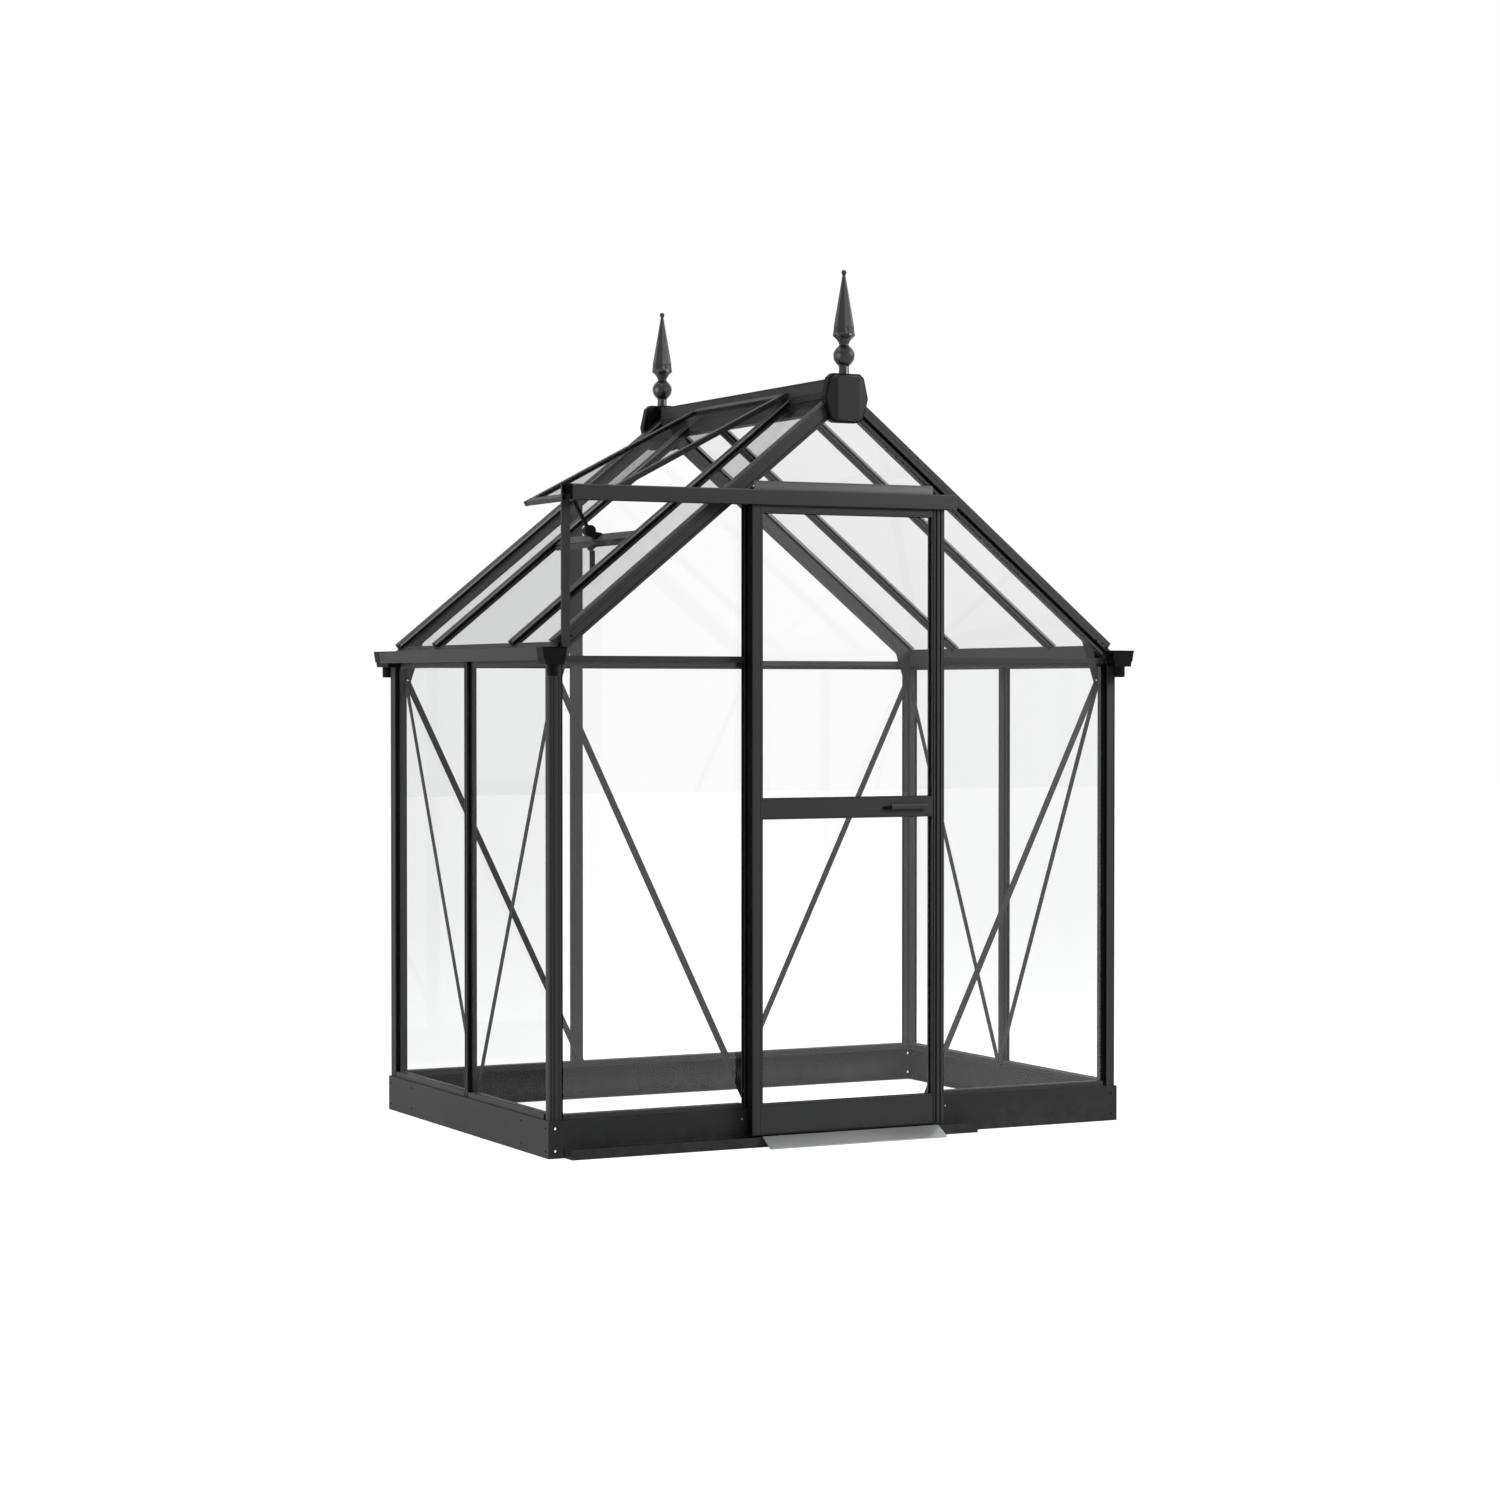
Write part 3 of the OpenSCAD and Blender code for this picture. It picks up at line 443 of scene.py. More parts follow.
def pane_glass(name, tint, streak, shine, loss_ior=GLASS_IOR):
    """Clear float glass that loses light when seen at a low angle.

    A straight look through a pane is clear glass dimmed by its Fresnel loss
    on the side facing the eye, and mirrors shine times the full Fresnel part.
    Glossy rays, which see the pane in other surfaces, meet the glass shader.
    """
    material, tree, shader = new_material(name)
    filled(shader, Transmission_Weight=1.0, IOR=GLASS_IOR, Roughness=0.0)
    grain = use_group(tree, GRAIN, Grain_Scale=9.0, Drift_Scale=1.4)
    bands = ranged(tree, grain.outputs["Drift"], (0.35, 0.65), (0.0, 1.0))
    streaked = [min(1.0, c * streak) for c in tint]
    link(tree, blended(tree, bands, tint, streaked), shader.inputs["Base Color"])
    raise_relief(tree, shader, grain.outputs["Grain"], 0.02, 0.0005)
    one_side = [c ** 0.5 for c in tint]
    clear = filled(add(tree, "ShaderNodeBsdfTransparent"), Color=(*one_side, 1.0))
    lost = filled(add(tree, "ShaderNodeBsdfTransparent"), Color=LOST_LIGHT)
    faces = add(tree, "ShaderNodeNewGeometry")
    facing = math_node(tree, "SUBTRACT", 1.0, faces.outputs["Backfacing"])
    parts = []
    for ior in (loss_ior, GLASS_IOR):
        fresnel = filled(add(tree, "ShaderNodeFresnel"), IOR=ior)
        parts.append(math_node(tree, "MULTIPLY", fresnel.outputs[0], facing))
    loss, mirror_part = parts
    through = mixed_shader(tree, loss, clear, lost)
    mirror = filled(add(tree, "ShaderNodeBsdfGlossy"), Roughness=0.0)
    shining = math_node(tree, "MULTIPLY", mirror_part, shine, clamp=True)
    mirrored_too = mixed_shader(tree, shining, through, mirror)
    paths = add(tree, "ShaderNodeLightPath")
    lit = (paths.outputs["Is Shadow Ray"], paths.outputs["Is Diffuse Ray"])
    seen = mixed_shader(tree, paths.outputs["Is Glossy Ray"], mirrored_too, shader)
    both = mixed_shader(tree, math_node(tree, "MAXIMUM", *lit), seen, clear)
    link(tree, both.outputs[0], tree.nodes["Material Output"].inputs["Surface"])
    return material


MOULDED_GRAIN = 420.0
CAPPING_GRAIN = 500.0
RUBBER_GRAIN = 300.0
FINISH = {
    "frame": coated(
        "grey_powder_coat", (0.062, 0.063, 0.064), (0.076, 0.077, 0.078),
        rough=0.5, rough_spread=0.05, specular=0.12, dust=0.22, bump=0.35,
    ),
    # A lighter grey for the lintel's face above the header: a painted highlight.
    "painted_highlight_grey": coated(
        "grey_painted_highlight", (0.10, 0.101, 0.102), (0.14, 0.141, 0.142),
        rough=0.4, rough_spread=0.05, specular=0.3, dust=0.1, bump=0.25,
    ),
    "base": coated(
        "black_base_coat", (0.039, 0.040, 0.041), (0.051, 0.052, 0.053),
        rough=0.5, rough_spread=0.06, specular=0.12, dust=0.3, bump=0.4,
    ),
    "black": coated(
        "black_moulded", (0.004, 0.004, 0.004), (0.007, 0.007, 0.007),
        rough=0.5, rough_spread=0.06, specular=0.07, dust=0.05, bump=0.5,
        grain_scale=MOULDED_GRAIN,
    ),
    # A lighter copy of the black moulding for the covers' front panels: painted light.
    "cover": coated(
        "black_moulded_lit_cover", (0.026, 0.026, 0.027), (0.034, 0.034, 0.035),
        rough=0.45, rough_spread=0.06, specular=0.15, dust=0.08, bump=0.5,
        grain_scale=MOULDED_GRAIN,
    ),
    "finial": coated(
        "black_moulded_finial", (0.012, 0.012, 0.012), (0.018, 0.018, 0.018),
        rough=0.3, rough_spread=0.06, specular=0.45, dust=0.05, bump=0.4,
        grain_scale=MOULDED_GRAIN,
    ),
    "capping": coated(
        "black_capping", (0.008, 0.008, 0.008), (0.013, 0.013, 0.013),
        rough=0.4, rough_spread=0.05, specular=0.12, dust=0.08, bump=0.3,
        grain_scale=CAPPING_GRAIN,
    ),
    # Black rubber for the seals, and also the black of painted shade: the pull's shadow, the
    # header's open end and the shade behind the door's edge.
    "seal": coated(
        "black_rubber_and_painted_shade", (0.003, 0.003, 0.003), (0.005, 0.005, 0.005),
        rough=0.75, rough_spread=0.08, specular=0.05, dust=0.03, bump=0.5,
        grain_scale=RUBBER_GRAIN,
    ),
    # Pale strips that paint the bright highlights beside the cappings and on the header's top edge.
    "pale": coated(
        "pale_painted_highlight", (0.36, 0.36, 0.36), (0.44, 0.44, 0.44),
        rough=0.35, rough_spread=0.05, specular=0.4, dust=0.1, bump=0.2,
    ),
    "alloy": rolled_alloy(
        "mill_alloy", (0.27, 0.275, 0.28), (0.34, 0.345, 0.35),
        rough=0.45, lines=(3.0, 260.0, 260.0),
    ),
    # Each face's panes get their own tint, shine and loss, fitted to how that face looks from its
    # angle: painted shade, darkest on the left slope and clear on the gables.
    "glass_wall": pane_glass(
        "glass_side_wall", (0.96, 0.965, 0.97), streak=1.03, shine=0.15
    ),
    "glass_gable": pane_glass(
        "glass_gable", (1.0, 1.0, 1.0), streak=1.0, shine=1.2, loss_ior=1.12
    ),
    "glass_roof_left": pane_glass(
        "glass_left_slope", (0.91, 0.915, 0.92), streak=1.04, shine=0.1
    ),
    "glass_roof_right": pane_glass(
        "glass_right_slope", (0.96, 0.965, 0.965), streak=1.03, shine=0.2, loss_ior=1.35
    ),
    "glass_vent": pane_glass("glass_vent", (0.96, 0.965, 0.97), streak=1.03, shine=0.08),
}

SLOT_FINISH = {
    "frame_paint": "frame",
    "base_steel": "base",
    "black_plastic": "black",
    "bare_alloy": "alloy",
    "glass": "glass_gable",
}
NODE_FINISH = {
    "side_glass": "glass_wall",
    "roof_glass_left": "glass_roof_left",
    "roof_glass_right": "glass_roof_right",
    "vent_glass": "glass_vent",
}
for row in frame["record"]["subparts"]:
    node_name = row["node"]
    finish_name = NODE_FINISH.get(node_name, SLOT_FINISH[row["material_slot"]])
    node_mesh = frame["nodes"][node_name].data
    node_mesh.materials.clear()
    node_mesh.materials.append(FINISH[finish_name])

# ---------- profiles ----------
# Depths are measured inward from a bar's outer face
CAP_DEPTH = 8.5  # where the glass begins
SLOT_END = 13.5  # where the glass ends
BAR_DEPTH = 34.0
POST_W = 42.0
POST_TOP = 1441.0
SEAL_FOOT = 8.0
CHANNEL, WIDE_CHANNEL = 7.0, 20.0  # half the width of a bar's inner channel
FOOT_S = 30.0  # where roof members begin, up the slope from the eave
PAST_RIDGE = 40.0


def absorb(target, source):
    """Moves the mesh of source into target."""
    mesh = bpy.data.meshes.new("passing")
    source.to_mesh(mesh)
    source.free()
    target.from_mesh(mesh)
    bpy.data.meshes.remove(mesh)


GROOVE_SIDE = 0.3  # how far a groove's side slopes


def grooved(length, grooves):
    """Points (along, depth) of a face with grooves (start, end, depth)."""
    points = [(0.0, 0.0)]
    for begin, stop, depth in grooves:
        floor_begin, floor_stop = begin + GROOVE_SIDE, stop - GROOVE_SIDE
        points += [(begin, 0.0), (floor_begin, depth), (floor_stop, depth), (stop, 0.0)]
    return points + [(length, 0.0)]


WIDE_FACE = (38.0, ((3.8, 6.2, 1.6), (13.0, 15.8, 2.4), (28.4, 30.4, 1.2)))
NARROW_FACE = (28.0, ((3.0, 5.0, 1.6), (11.5, 12.8, 0.8)))


def post_outline(face_a, face_b):
    """Corner post from its outer corner: a along x, b along y."""
    wide_a, grooves_a = face_a
    wide_b, grooves_b = face_b
    points = grooved(wide_a, grooves_a)
    points += [
        (wide_a, CAP_DEPTH), (BAR_DEPTH, CAP_DEPTH), (BAR_DEPTH, SLOT_END), (POST_W, SLOT_END),
        (POST_W, BAR_DEPTH), (BAR_DEPTH, BAR_DEPTH), (BAR_DEPTH, POST_W), (SLOT_END, POST_W),
        (SLOT_END, BAR_DEPTH), (CAP_DEPTH, BAR_DEPTH), (CAP_DEPTH, wide_b),
    ]
    points += [(d, t) for t, d in reversed(grooved(wide_b, grooves_b))][:-1]
    return points


def corner_post(name, side, end, face_a, face_b):
    """A post and the seals in its two glazing slots; end is -1 front, 1 back."""
    corner = at(side * (HALF_W - INSET), INSET if end < 0 else LENGTH - INSET, 0.0)
    across = Vector((-side, 0, 0))
    inward = Vector((0, -end, 0))
    bm = bmesh.new()
    low = corner + Vector((0, 0, BASE_H))
    high = corner + Vector((0, 0, POST_TOP))
    extrude(bm, post_outline(face_a, face_b), low, high, across, inward)
    piece(name + "_body", bm, "frame", stands_for=(name,), ease=0.5)
    bm = bmesh.new()
    for first, second, wide in ((across, inward, face_a[0]), (inward, across, face_b[0])):
        strip = [
            (wide, 4.0), (wide + 1.0, 7.4), (POST_W + 3.0, 7.4), (POST_W + 3.0, 8.9),
            (wide - 1.0, 8.9), (wide - 1.0, 4.0),
        ]
        extrude(bm, strip, low + UP * SEAL_FOOT, high, first, second)
    piece(name + "_seal", bm, "seal", ease=0.3)


corner_post("post_front_left", -1, -1, WIDE_FACE, NARROW_FACE)
corner_post("post_front_right", 1, -1, NARROW_FACE, WIDE_FACE)
corner_post("post_back_right", 1, 1, WIDE_FACE, NARROW_FACE)
corner_post("post_back_left", -1, 1, NARROW_FACE, WIDE_FACE)


def bar_body(channel):
    """A bar behind its capping: web, flange with lips, and channel; (along, depth)."""
    return [
        (-5, 7), (5, 7), (5, SLOT_END), (13.6, SLOT_END), (13.6, 13.0), (15, 13.0), (15, 16.5),
        (channel, 16.5), (channel, BAR_DEPTH - 2), (channel - 1.2, BAR_DEPTH),
        (-channel + 1.2, BAR_DEPTH), (-channel, BAR_DEPTH - 2), (-channel, 16.5), (-15, 16.5),
        (-15, 13.0), (-13.6, 13.0), (-13.6, SLOT_END), (-5, SLOT_END),
    ]


CAPPING = [
    (-12, 8.5), (-12, 1.4), (-10.6, 0), (-3.4, 0), (-2.6, 0.9), (2.6, 0.9), (3.4, 0), (10.6, 0),
    (12, 1.4), (12, 8.5),
]
GLAZING_SEAL = [(-14.5, 8.2), (14.5, 8.2), (14.5, 8.95), (-14.5, 8.95)]


def bar_group(name, places, channel, top, under_roof):
    """Upright bars with their black cappings and the seals under those.

    A place is (x, y, across, inward). Bars under_roof are cut along the rafters.
    """
    bodies, cappings, seals = bmesh.new(), bmesh.new(), bmesh.new()
    parts = ((bodies, bar_body(channel)), (cappings, CAPPING), (seals, GLAZING_SEAL))
    for x, y, across, inward in places:
        for target, outline in parts:
            bm = bmesh.new()
            extrude(bm, outline, at(x, y, BASE_H), at(x, y, top), across, inward)
            if under_roof:
                side = 1 if x > 0 else -1
                cut(bm, on_roof(side, 0.0, y, -UNDER_RAFTERS), at(side * SIN_P, 0, COS_P))
            absorb(target, bm)
    piece(name + "_body", bodies, "frame", stands_for=(name,), ease=0.4)
    piece(name + "_capping", cappings, "capping")
    piece(name + "_seal", seals, "seal")


UNCUT_TOP = 2200.0
WALL_PLACES = [(side * (HALF_W - INSET), LENGTH / 2, IN, RIGHT * -side) for side in (-1, 1)]
FRONT_PLACES = [(side * BAR_X, INSET, RIGHT, IN) for side in (-1, 1)]
BACK_PLACES = [(side * BAR_X, LENGTH - INSET, RIGHT, -IN) for side in (-1, 1)]
bar_group("side_bars", WALL_PLACES, CHANNEL, BEAM_LOW, False)
bar_group("door_posts", FRONT_PLACES, CHANNEL, UNCUT_TOP, True)
bar_group("back_bars", BACK_PLACES, WIDE_CHANNEL, UNCUT_TOP, True)

# ---------- rafters and roof bars ----------
# Outlines are (along y, depth under the roof line). Facing a gable, the rafter on the right has a
# slot with a black seal on its floor, which is also painted shade darkening the recess, and the one
# on the left a narrow groove.
SLOTTED_RAFTER = [
    (0, -3.5), (0, 9.4), (-1, 10.0), (-1, 11.0), (0, 11.6), (0, 24), (8, 24), (8, 36), (0, 36),
    (0, 43), (37, 43), (37, 13.5), (29, 13.5), (29, 8.5), (37, 8.5), (37, -3.5),
]
GROOVED_RAFTER = [
    (0, -3.5), (0, 11.0), (-1, 11.6), (-1, 12.8), (0, 13.4), (0, 31), (3, 31), (3, 34.6), (0, 34.6),
    (0, 43), (37, 43), (37, 13.5), (29, 13.5), (29, 8.5), (37, 8.5), (37, -3.5),
]
# A black seal on the slot's floor, also painted shade in the recess.
SLOT_SEAL_AND_SHADE = [(6, 24), (8.1, 24), (8.1, 36), (6, 36)]
RAFTER_SEAL = [(28, 6.4), (37.6, 6.4), (37.6, 9.0), (28, 9.0)]
# A pale strip along each rafter's inner top edge: a painted highlight.
RAFTER_HIGHLIGHT = [(36.4, -2.6), (38.0, -2.6), (38.0, 3.6), (36.4, 3.6)]
RAFTER_CAPPING = [(12, -4.2), (37.6, -4.2), (38.2, -3.6), (38.2, -2.6), (12, -3.2)]
SLOPE = HALF_W / COS_P
RIDGE_LINE, RIDGE_FACE, RIDGE_EDGE = 0.0, 20.0, 19.0  # x where bars up the slope stop


def sloped(outline, side, y, along_y, start, stop_x):
    """A bar up one slope, from start along it to the plane x = stop_x."""
    bm = bmesh.new()
    first = on_roof(side, start, y, 0.0)
    last = on_roof(side, SLOPE + PAST_RIDGE, y, 0.0)
    down = at(-side * SIN_P, 0, -COS_P)
    extrude(bm, outline, first, last, IN * along_y, down)
    cut(bm, at(side * stop_x, 0, 0), RIGHT * -side)
    return bm


def rafter_pair(name, end):
    """The two rafters of a gable with their seals, pale strips of painted highlight and cappings.
    """
    y = INSET if end < 0 else LENGTH - INSET
    body, seal, pale, cap = bmesh.new(), bmesh.new(), bmesh.new(), bmesh.new()
    for side in (-1, 1):
        if side * end < 0:
            parts = [
                (body, SLOTTED_RAFTER, FOOT_S, RIDGE_LINE),
                (seal, SLOT_SEAL_AND_SHADE, FOOT_S, RIDGE_LINE),
            ]
        else:
            parts = [(body, GROOVED_RAFTER, FOOT_S, RIDGE_LINE)]
        parts += [
            (seal, RAFTER_SEAL, FOOT_S, RIDGE_EDGE),
            (pale, RAFTER_HIGHLIGHT, FOOT_S + 2, RIDGE_EDGE),
            (cap, RAFTER_CAPPING, FOOT_S - 2, RIDGE_EDGE),
        ]
        for target, outline, start, stop_x in parts:
            absorb(target, sloped(outline, side, y, -end, start, stop_x))
    piece(name + "_body", body, "frame", stands_for=(name,), ease=0.4)
    piece(name + "_seal", seal, "seal")
    piece(name + "_strip", pale, "pale")
    piece(name + "_capping", cap, "capping")


rafter_pair("rafters_front", -1)
rafter_pair("rafters_back", 1)

ROOF_BODY = [
    (-5, 8), (5, 8), (5, SLOT_END), (15, SLOT_END), (15, 16.5), (7, 16.5), (7, 23.6), (5.8, 25),
    (-5.8, 25), (-7, 23.6), (-7, 16.5), (-15, 16.5), (-15, SLOT_END), (-5, SLOT_END),
]
ROOF_CAP = [
    (-11.4, 8.6), (-11.4, -2.4), (-10.4, -3.5), (10.4, -3.5), (11.4, -2.4), (11.4, 8.6),
]
# Pale strips on both sides of a roof bar's capping: a painted highlight.
ROOF_HIGHLIGHT = [(11.2, -2.4), (12.2, -2.4), (12.2, 3.4), (11.2, 3.4)]
ROOF_SEAL = [(-14, 7.8), (14, 7.8), (14, 8.95), (-14, 8.95)]
body, cap, pale, seal = bmesh.new(), bmesh.new(), bmesh.new(), bmesh.new()
parts = [
    (body, ROOF_BODY, FOOT_S + 3),
    (cap, ROOF_CAP, FOOT_S),
    (pale, [(-across, depth) for across, depth in ROOF_HIGHLIGHT], FOOT_S + 2),
    (pale, ROOF_HIGHLIGHT, FOOT_S + 2),
    (seal, ROOF_SEAL, FOOT_S),
]
for side in (-1, 1):
    for y in (ROOF_BAR_Y, LENGTH - ROOF_BAR_Y):
        for target, outline, start in parts:
            absorb(target, sloped(outline, side, y, 1, start, RIDGE_FACE))
piece("roof_bars_body", body, "frame", stands_for=("roof_bars",), ease=0.4)
piece("roof_bars_capping", cap, "capping")
piece("roof_bars_highlight", pale, "pale")
piece("roof_bars_seal", seal, "seal")

# ---------- ridge ----------
# The right half of the ridge beam's section, (x, z), from its foot up
RIDGE_SIDE = [
    (20, RIDGE_LOW), (20, 2213), (15, 2213), (15, 2218.4), (20, 2218.4), (20, 2221), (17, 2221.6),
    (17, 2226), (20, 2226.6), (20, 2228), (17, 2228.6), (17, 2233.4), (20, 2234), (20, 2237.4),
    (21, 2238), (21, 2239.6), (20, 2240.2), (20, 2267), (18.4, 2267.6), (18.4, 2272),
    (20, 2272.4), (20, RIDGE_TOP - 1), (19, RIDGE_TOP),
]
bm = bmesh.new()
outline = RIDGE_SIDE + [(-x, z) for x, z in reversed(RIDGE_SIDE)]
extrude(bm, outline, IN * BEHIND_RAFTERS, IN * (LENGTH - BEHIND_RAFTERS), RIGHT, UP)
piece("ridge_profile", bm, "base", stands_for=("ridge_beam",), ease=0.3)

# The right half of a ridge cover seen from the front: (half width, down from the top)
COVER = [(38, 146), (54, 138), (67, 98), (73, 73), (59, 12), (45, 0)]
WIDEST_DOWN = 73.0
COVER_RIM_Y, COVER_FACE_Y = -10.0, -22.0
SKIRT_RINGS = ((COVER_RIM_Y, 3.5), (COVER_RIM_Y + 3.0, 0.0), (20.0, 0.0))
FACE_HALF, FACE_UPPER, FACE_MIDDLE, FACE_LOWER = 36.0, 10.0, 74.0, 136.0


def cover_ring(bm, y, shrink):
    """A cover's outline at y, drawn in by shrink: right half up, left half down."""
    ring = []
    for side, half in ((1, COVER), (-1, COVER[::-1])):
        for wide, down in half:
            z = COVER_TOP - (down + shrink * (1 - down / WIDEST_DOWN))
            ring.append(bm.verts.new(at(side * (wide - shrink), y, z)))
    return ring


def join_rings(bm, rings):
    """Walls between rings of as many points, closed at both ends."""
    for low, high in zip(rings, rings[1:]):
        for i in range(len(low)):
            j = (i + 1) % len(low)
            bm.faces.new((low[i], low[j], high[j], high[i]))
    bm.faces.new(rings[0][::-1])
    bm.faces.new(rings[-1])


bm = bmesh.new()
join_rings(bm, [cover_ring(bm, y, shrink) for y, shrink in SKIRT_RINGS])
block(bm, (-19.9, 19.0, RIDGE_TOP - 6.0), (19.9, 42.9, COVER_TOP))
mirrored(bm, y_mid=LENGTH / 2)
piece(
    "ridge_covers", bm, "black",
    stands_for=("ridge_ends",), ease=0.8, smooth=25.0,
)

# The raised front of a cover: a tall flat panel between facets on both sides
bm = bmesh.new()
rim = cover_ring(bm, COVER_RIM_Y - 0.2, 4.5)
bm.faces.new(rim)
edges = []
for side, half in ((1, rim[:6]), (-1, rim[:5:-1])):
    foot, low, knee, wide, high, top = half
    upper, middle, lower = [
        bm.verts.new(at(side * FACE_HALF, COVER_FACE_Y, COVER_TOP - down))
        for down in (FACE_UPPER, FACE_MIDDLE, FACE_LOWER)
    ]
    for corners in (
        (foot, low, lower), (low, knee, middle, lower), (knee, wide, middle),
        (wide, high, upper, middle), (high, top, upper),
    ):
        bm.faces.new(corners)
    edges.append((foot, lower, middle, upper, top))
right, left = edges
for i in range(len(left) - 1):
    bm.faces.new((left[i], left[i + 1], right[i + 1], right[i]))
mirrored(bm, y_mid=LENGTH / 2)
# The panels take the lighter copy of the black: painted light on the covers' fronts.
piece("ridge_cover_faces", bm, "cover", ease=0.5, smooth=25.0)

# Finials: neck, diamond-cut ball, flared collar, eight-sided spear with a bead on
# each side of its foot, and a knob. Profiles are (radius, height).
FINIAL_BASE = at(0.0, 10.0, COVER_TOP)
NECK = [(15.8, -1), (15.4, 3), (15.0, 21), (16.5, 25)]
BALL = [(15, 23.5), (24, 32), (30, 42), (32.6, 53), (31.6, 63), (26.5, 73), (15, 85)]
COLLAR = [
    (15, 84), (14.2, 88), (17, 95), (23, 104), (33.4, 113), (33.4, 118), (31.5, 120),
]
SPEAR = [(33.2, 117), (30.2, 136), (31.2, 138), (4.4, 295)]
BEAD = [(3.4, 0), (3.0, 14), (0.8, 19)]
BEAD_OUT, BEAD_UP = 27.5, 121.0
KNOB = [(3.5, 293), (6.6, 296.5), (8, 302), (6.6, 307.2), (2.5, 309.8)]
BALL_SIDES, SPEAR_SIDES = 12, 8

bm = bmesh.new()
turned(bm, FINIAL_BASE, UP, NECK, 16)
rings = []
for k, (radius, height) in enumerate(BALL):
    ring = []
    for i in range(BALL_SIDES):
        angle = 2 * math.pi * (i + 0.5 * (k % 2)) / BALL_SIDES
        out = at(radius * math.cos(angle), radius * math.sin(angle), height)
        ring.append(bm.verts.new(FINIAL_BASE + out))
    rings.append(ring)
for k, (low, high) in enumerate(zip(rings, rings[1:])):
    for i in range(BALL_SIDES):
        j = (i + 1) % BALL_SIDES
        if k % 2 == 0:
            bm.faces.new((low[i], low[j], high[i]))
            bm.faces.new((low[j], high[j], high[i]))
        else:
            bm.faces.new((low[i], high[j], high[i]))
            bm.faces.new((low[i], low[j], high[j]))
bm.faces.new(rings[0][::-1])
bm.faces.new(rings[-1])
turned(bm, FINIAL_BASE, UP, COLLAR, 24)
turned(bm, FINIAL_BASE, UP, SPEAR, SPEAR_SIDES, math.pi / SPEAR_SIDES)
for i in range(SPEAR_SIDES):
    angle = 2 * math.pi * i / SPEAR_SIDES
    way = at(math.cos(angle), math.sin(angle), 0)
    turned(bm, FINIAL_BASE + way * BEAD_OUT + UP * BEAD_UP, UP, BEAD, 6)
turned(bm, FINIAL_BASE, UP, KNOB, 16)
mirrored(bm, y_mid=LENGTH / 2)
piece(
    "finials_moulded", bm, "finial", stands_for=("finials",), smooth=12.0
)

# ---------- gutter ends ----------
# Section (across from the base's side, z) of the moulding, and its outlet's profile
END_PROFILE = [
    (-34.6, 1465), (-28.6, 1430.5), (-25.6, 1430.5), (-23.6, 1415), (34, 1415),
    (36, 1430.5), (38, 1430.5), (42, 1465),
]
OUTLET = [(17, 0), (17, 29), (15.6, 33)]
END_OUT, END_IN = 40.0, 6.0  # from the base's end faces
BACK_LONGER = 56.0
END_WIDEST = 999.6

bm = bmesh.new()
extrude(bm, END_PROFILE, at(-HALF_W, -END_OUT, 0), at(-HALF_W, END_IN, 0), RIGHT, UP)
block(bm, (-HALF_W - 36.0, -41.0, 1461.0), (-HALF_W + 43.0, 6.4, EAVE))
turned(bm, at(-HALF_W + 6.0, -19.0, 1415.5), -UP, OUTLET, 28)
mirrored(bm, x_mid=0.0)
mirrored(bm, y_mid=LENGTH / 2)
for v in bm.verts:
    if abs(v.co.y - (LENGTH - END_IN)) < 1.0:
        v.co.y -= BACK_LONGER
    v.co.x = max(-END_WIDEST, min(END_WIDEST, v.co.x))
    v.co.y = max(-END_OUT, min(LENGTH + END_OUT, v.co.y))
piece(
    "gutter_ends_moulded", bm, "black",
    stands_for=("gutter_ends",), ease=0.8,
)

# ---------- corner plates with bolt holes ----------
# Plate places are (u inward from the base's side, z); a hole adds its radius
PLATE_LOW_U, PLATE_HIGH_U = 43.0, 112.0
POST_STRIP = (43.5, 58.0)  # where the plate runs down behind the post
PLATE_FOOT, PLATE_SHOULDER = 1363.0, 1410.0
UNDER_EDGE = 24.0 / COS_P
PLATE_HOLES = [(96.0, 1493.0, 4.2), (50.0, 1372.0, 3.6), (52.0, 1433.0, 2.6)]
HOLE_SIDES = 12


def under_roof(u):
    """Height of a plate's sloping top at u."""
    return EAVE + u * math.tan(PITCH) - UNDER_EDGE


PLATE = [
    (POST_STRIP[0], PLATE_FOOT), (POST_STRIP[1], PLATE_FOOT),
    (PLATE_HIGH_U, under_roof(PLATE_HIGH_U)), (PLATE_LOW_U, under_roof(PLATE_LOW_U)),
    (PLATE_LOW_U, PLATE_SHOULDER), (POST_STRIP[0], PLATE_SHOULDER),
]


def round_hole(u, z, radius):
    angles = [i * math.pi / (HOLE_SIDES / 2) for i in range(HOLE_SIDES)]
    return [(u + radius * math.cos(a), z + radius * math.sin(a)) for a in angles]


def holed_plate(bm, outline, holes, y_front, thick):
    """A flat plate square to y with round holes through it."""
    sides = []
    for y in (y_front, y_front + thick):
        loops = []
        all_edges = []
        for points in [outline] + [round_hole(*hole) for hole in holes]:
            verts = [bm.verts.new(at(-HALF_W + u, y, z)) for u, z in points]
            nexts = verts[1:] + verts[:1]
            all_edges += [bm.edges.new(pair) for pair in zip(verts, nexts)]
            loops.append(verts)
        bmesh.ops.triangle_fill(bm, edges=all_edges, use_beauty=True)
        sides.append(loops)
    for near, far in zip(*sides):
        for i in range(len(near)):
            j = (i + 1) % len(near)
            bm.faces.new((near[i], near[j], far[j], far[i]))


bm = bmesh.new()
holed_plate(bm, PLATE, PLATE_HOLES, BEHIND_RAFTERS, PLATE_T)
mirrored(bm, x_mid=0.0)
mirrored(bm, y_mid=LENGTH / 2)
piece("gusset_plates", bm, "frame", stands_for=("gussets",))

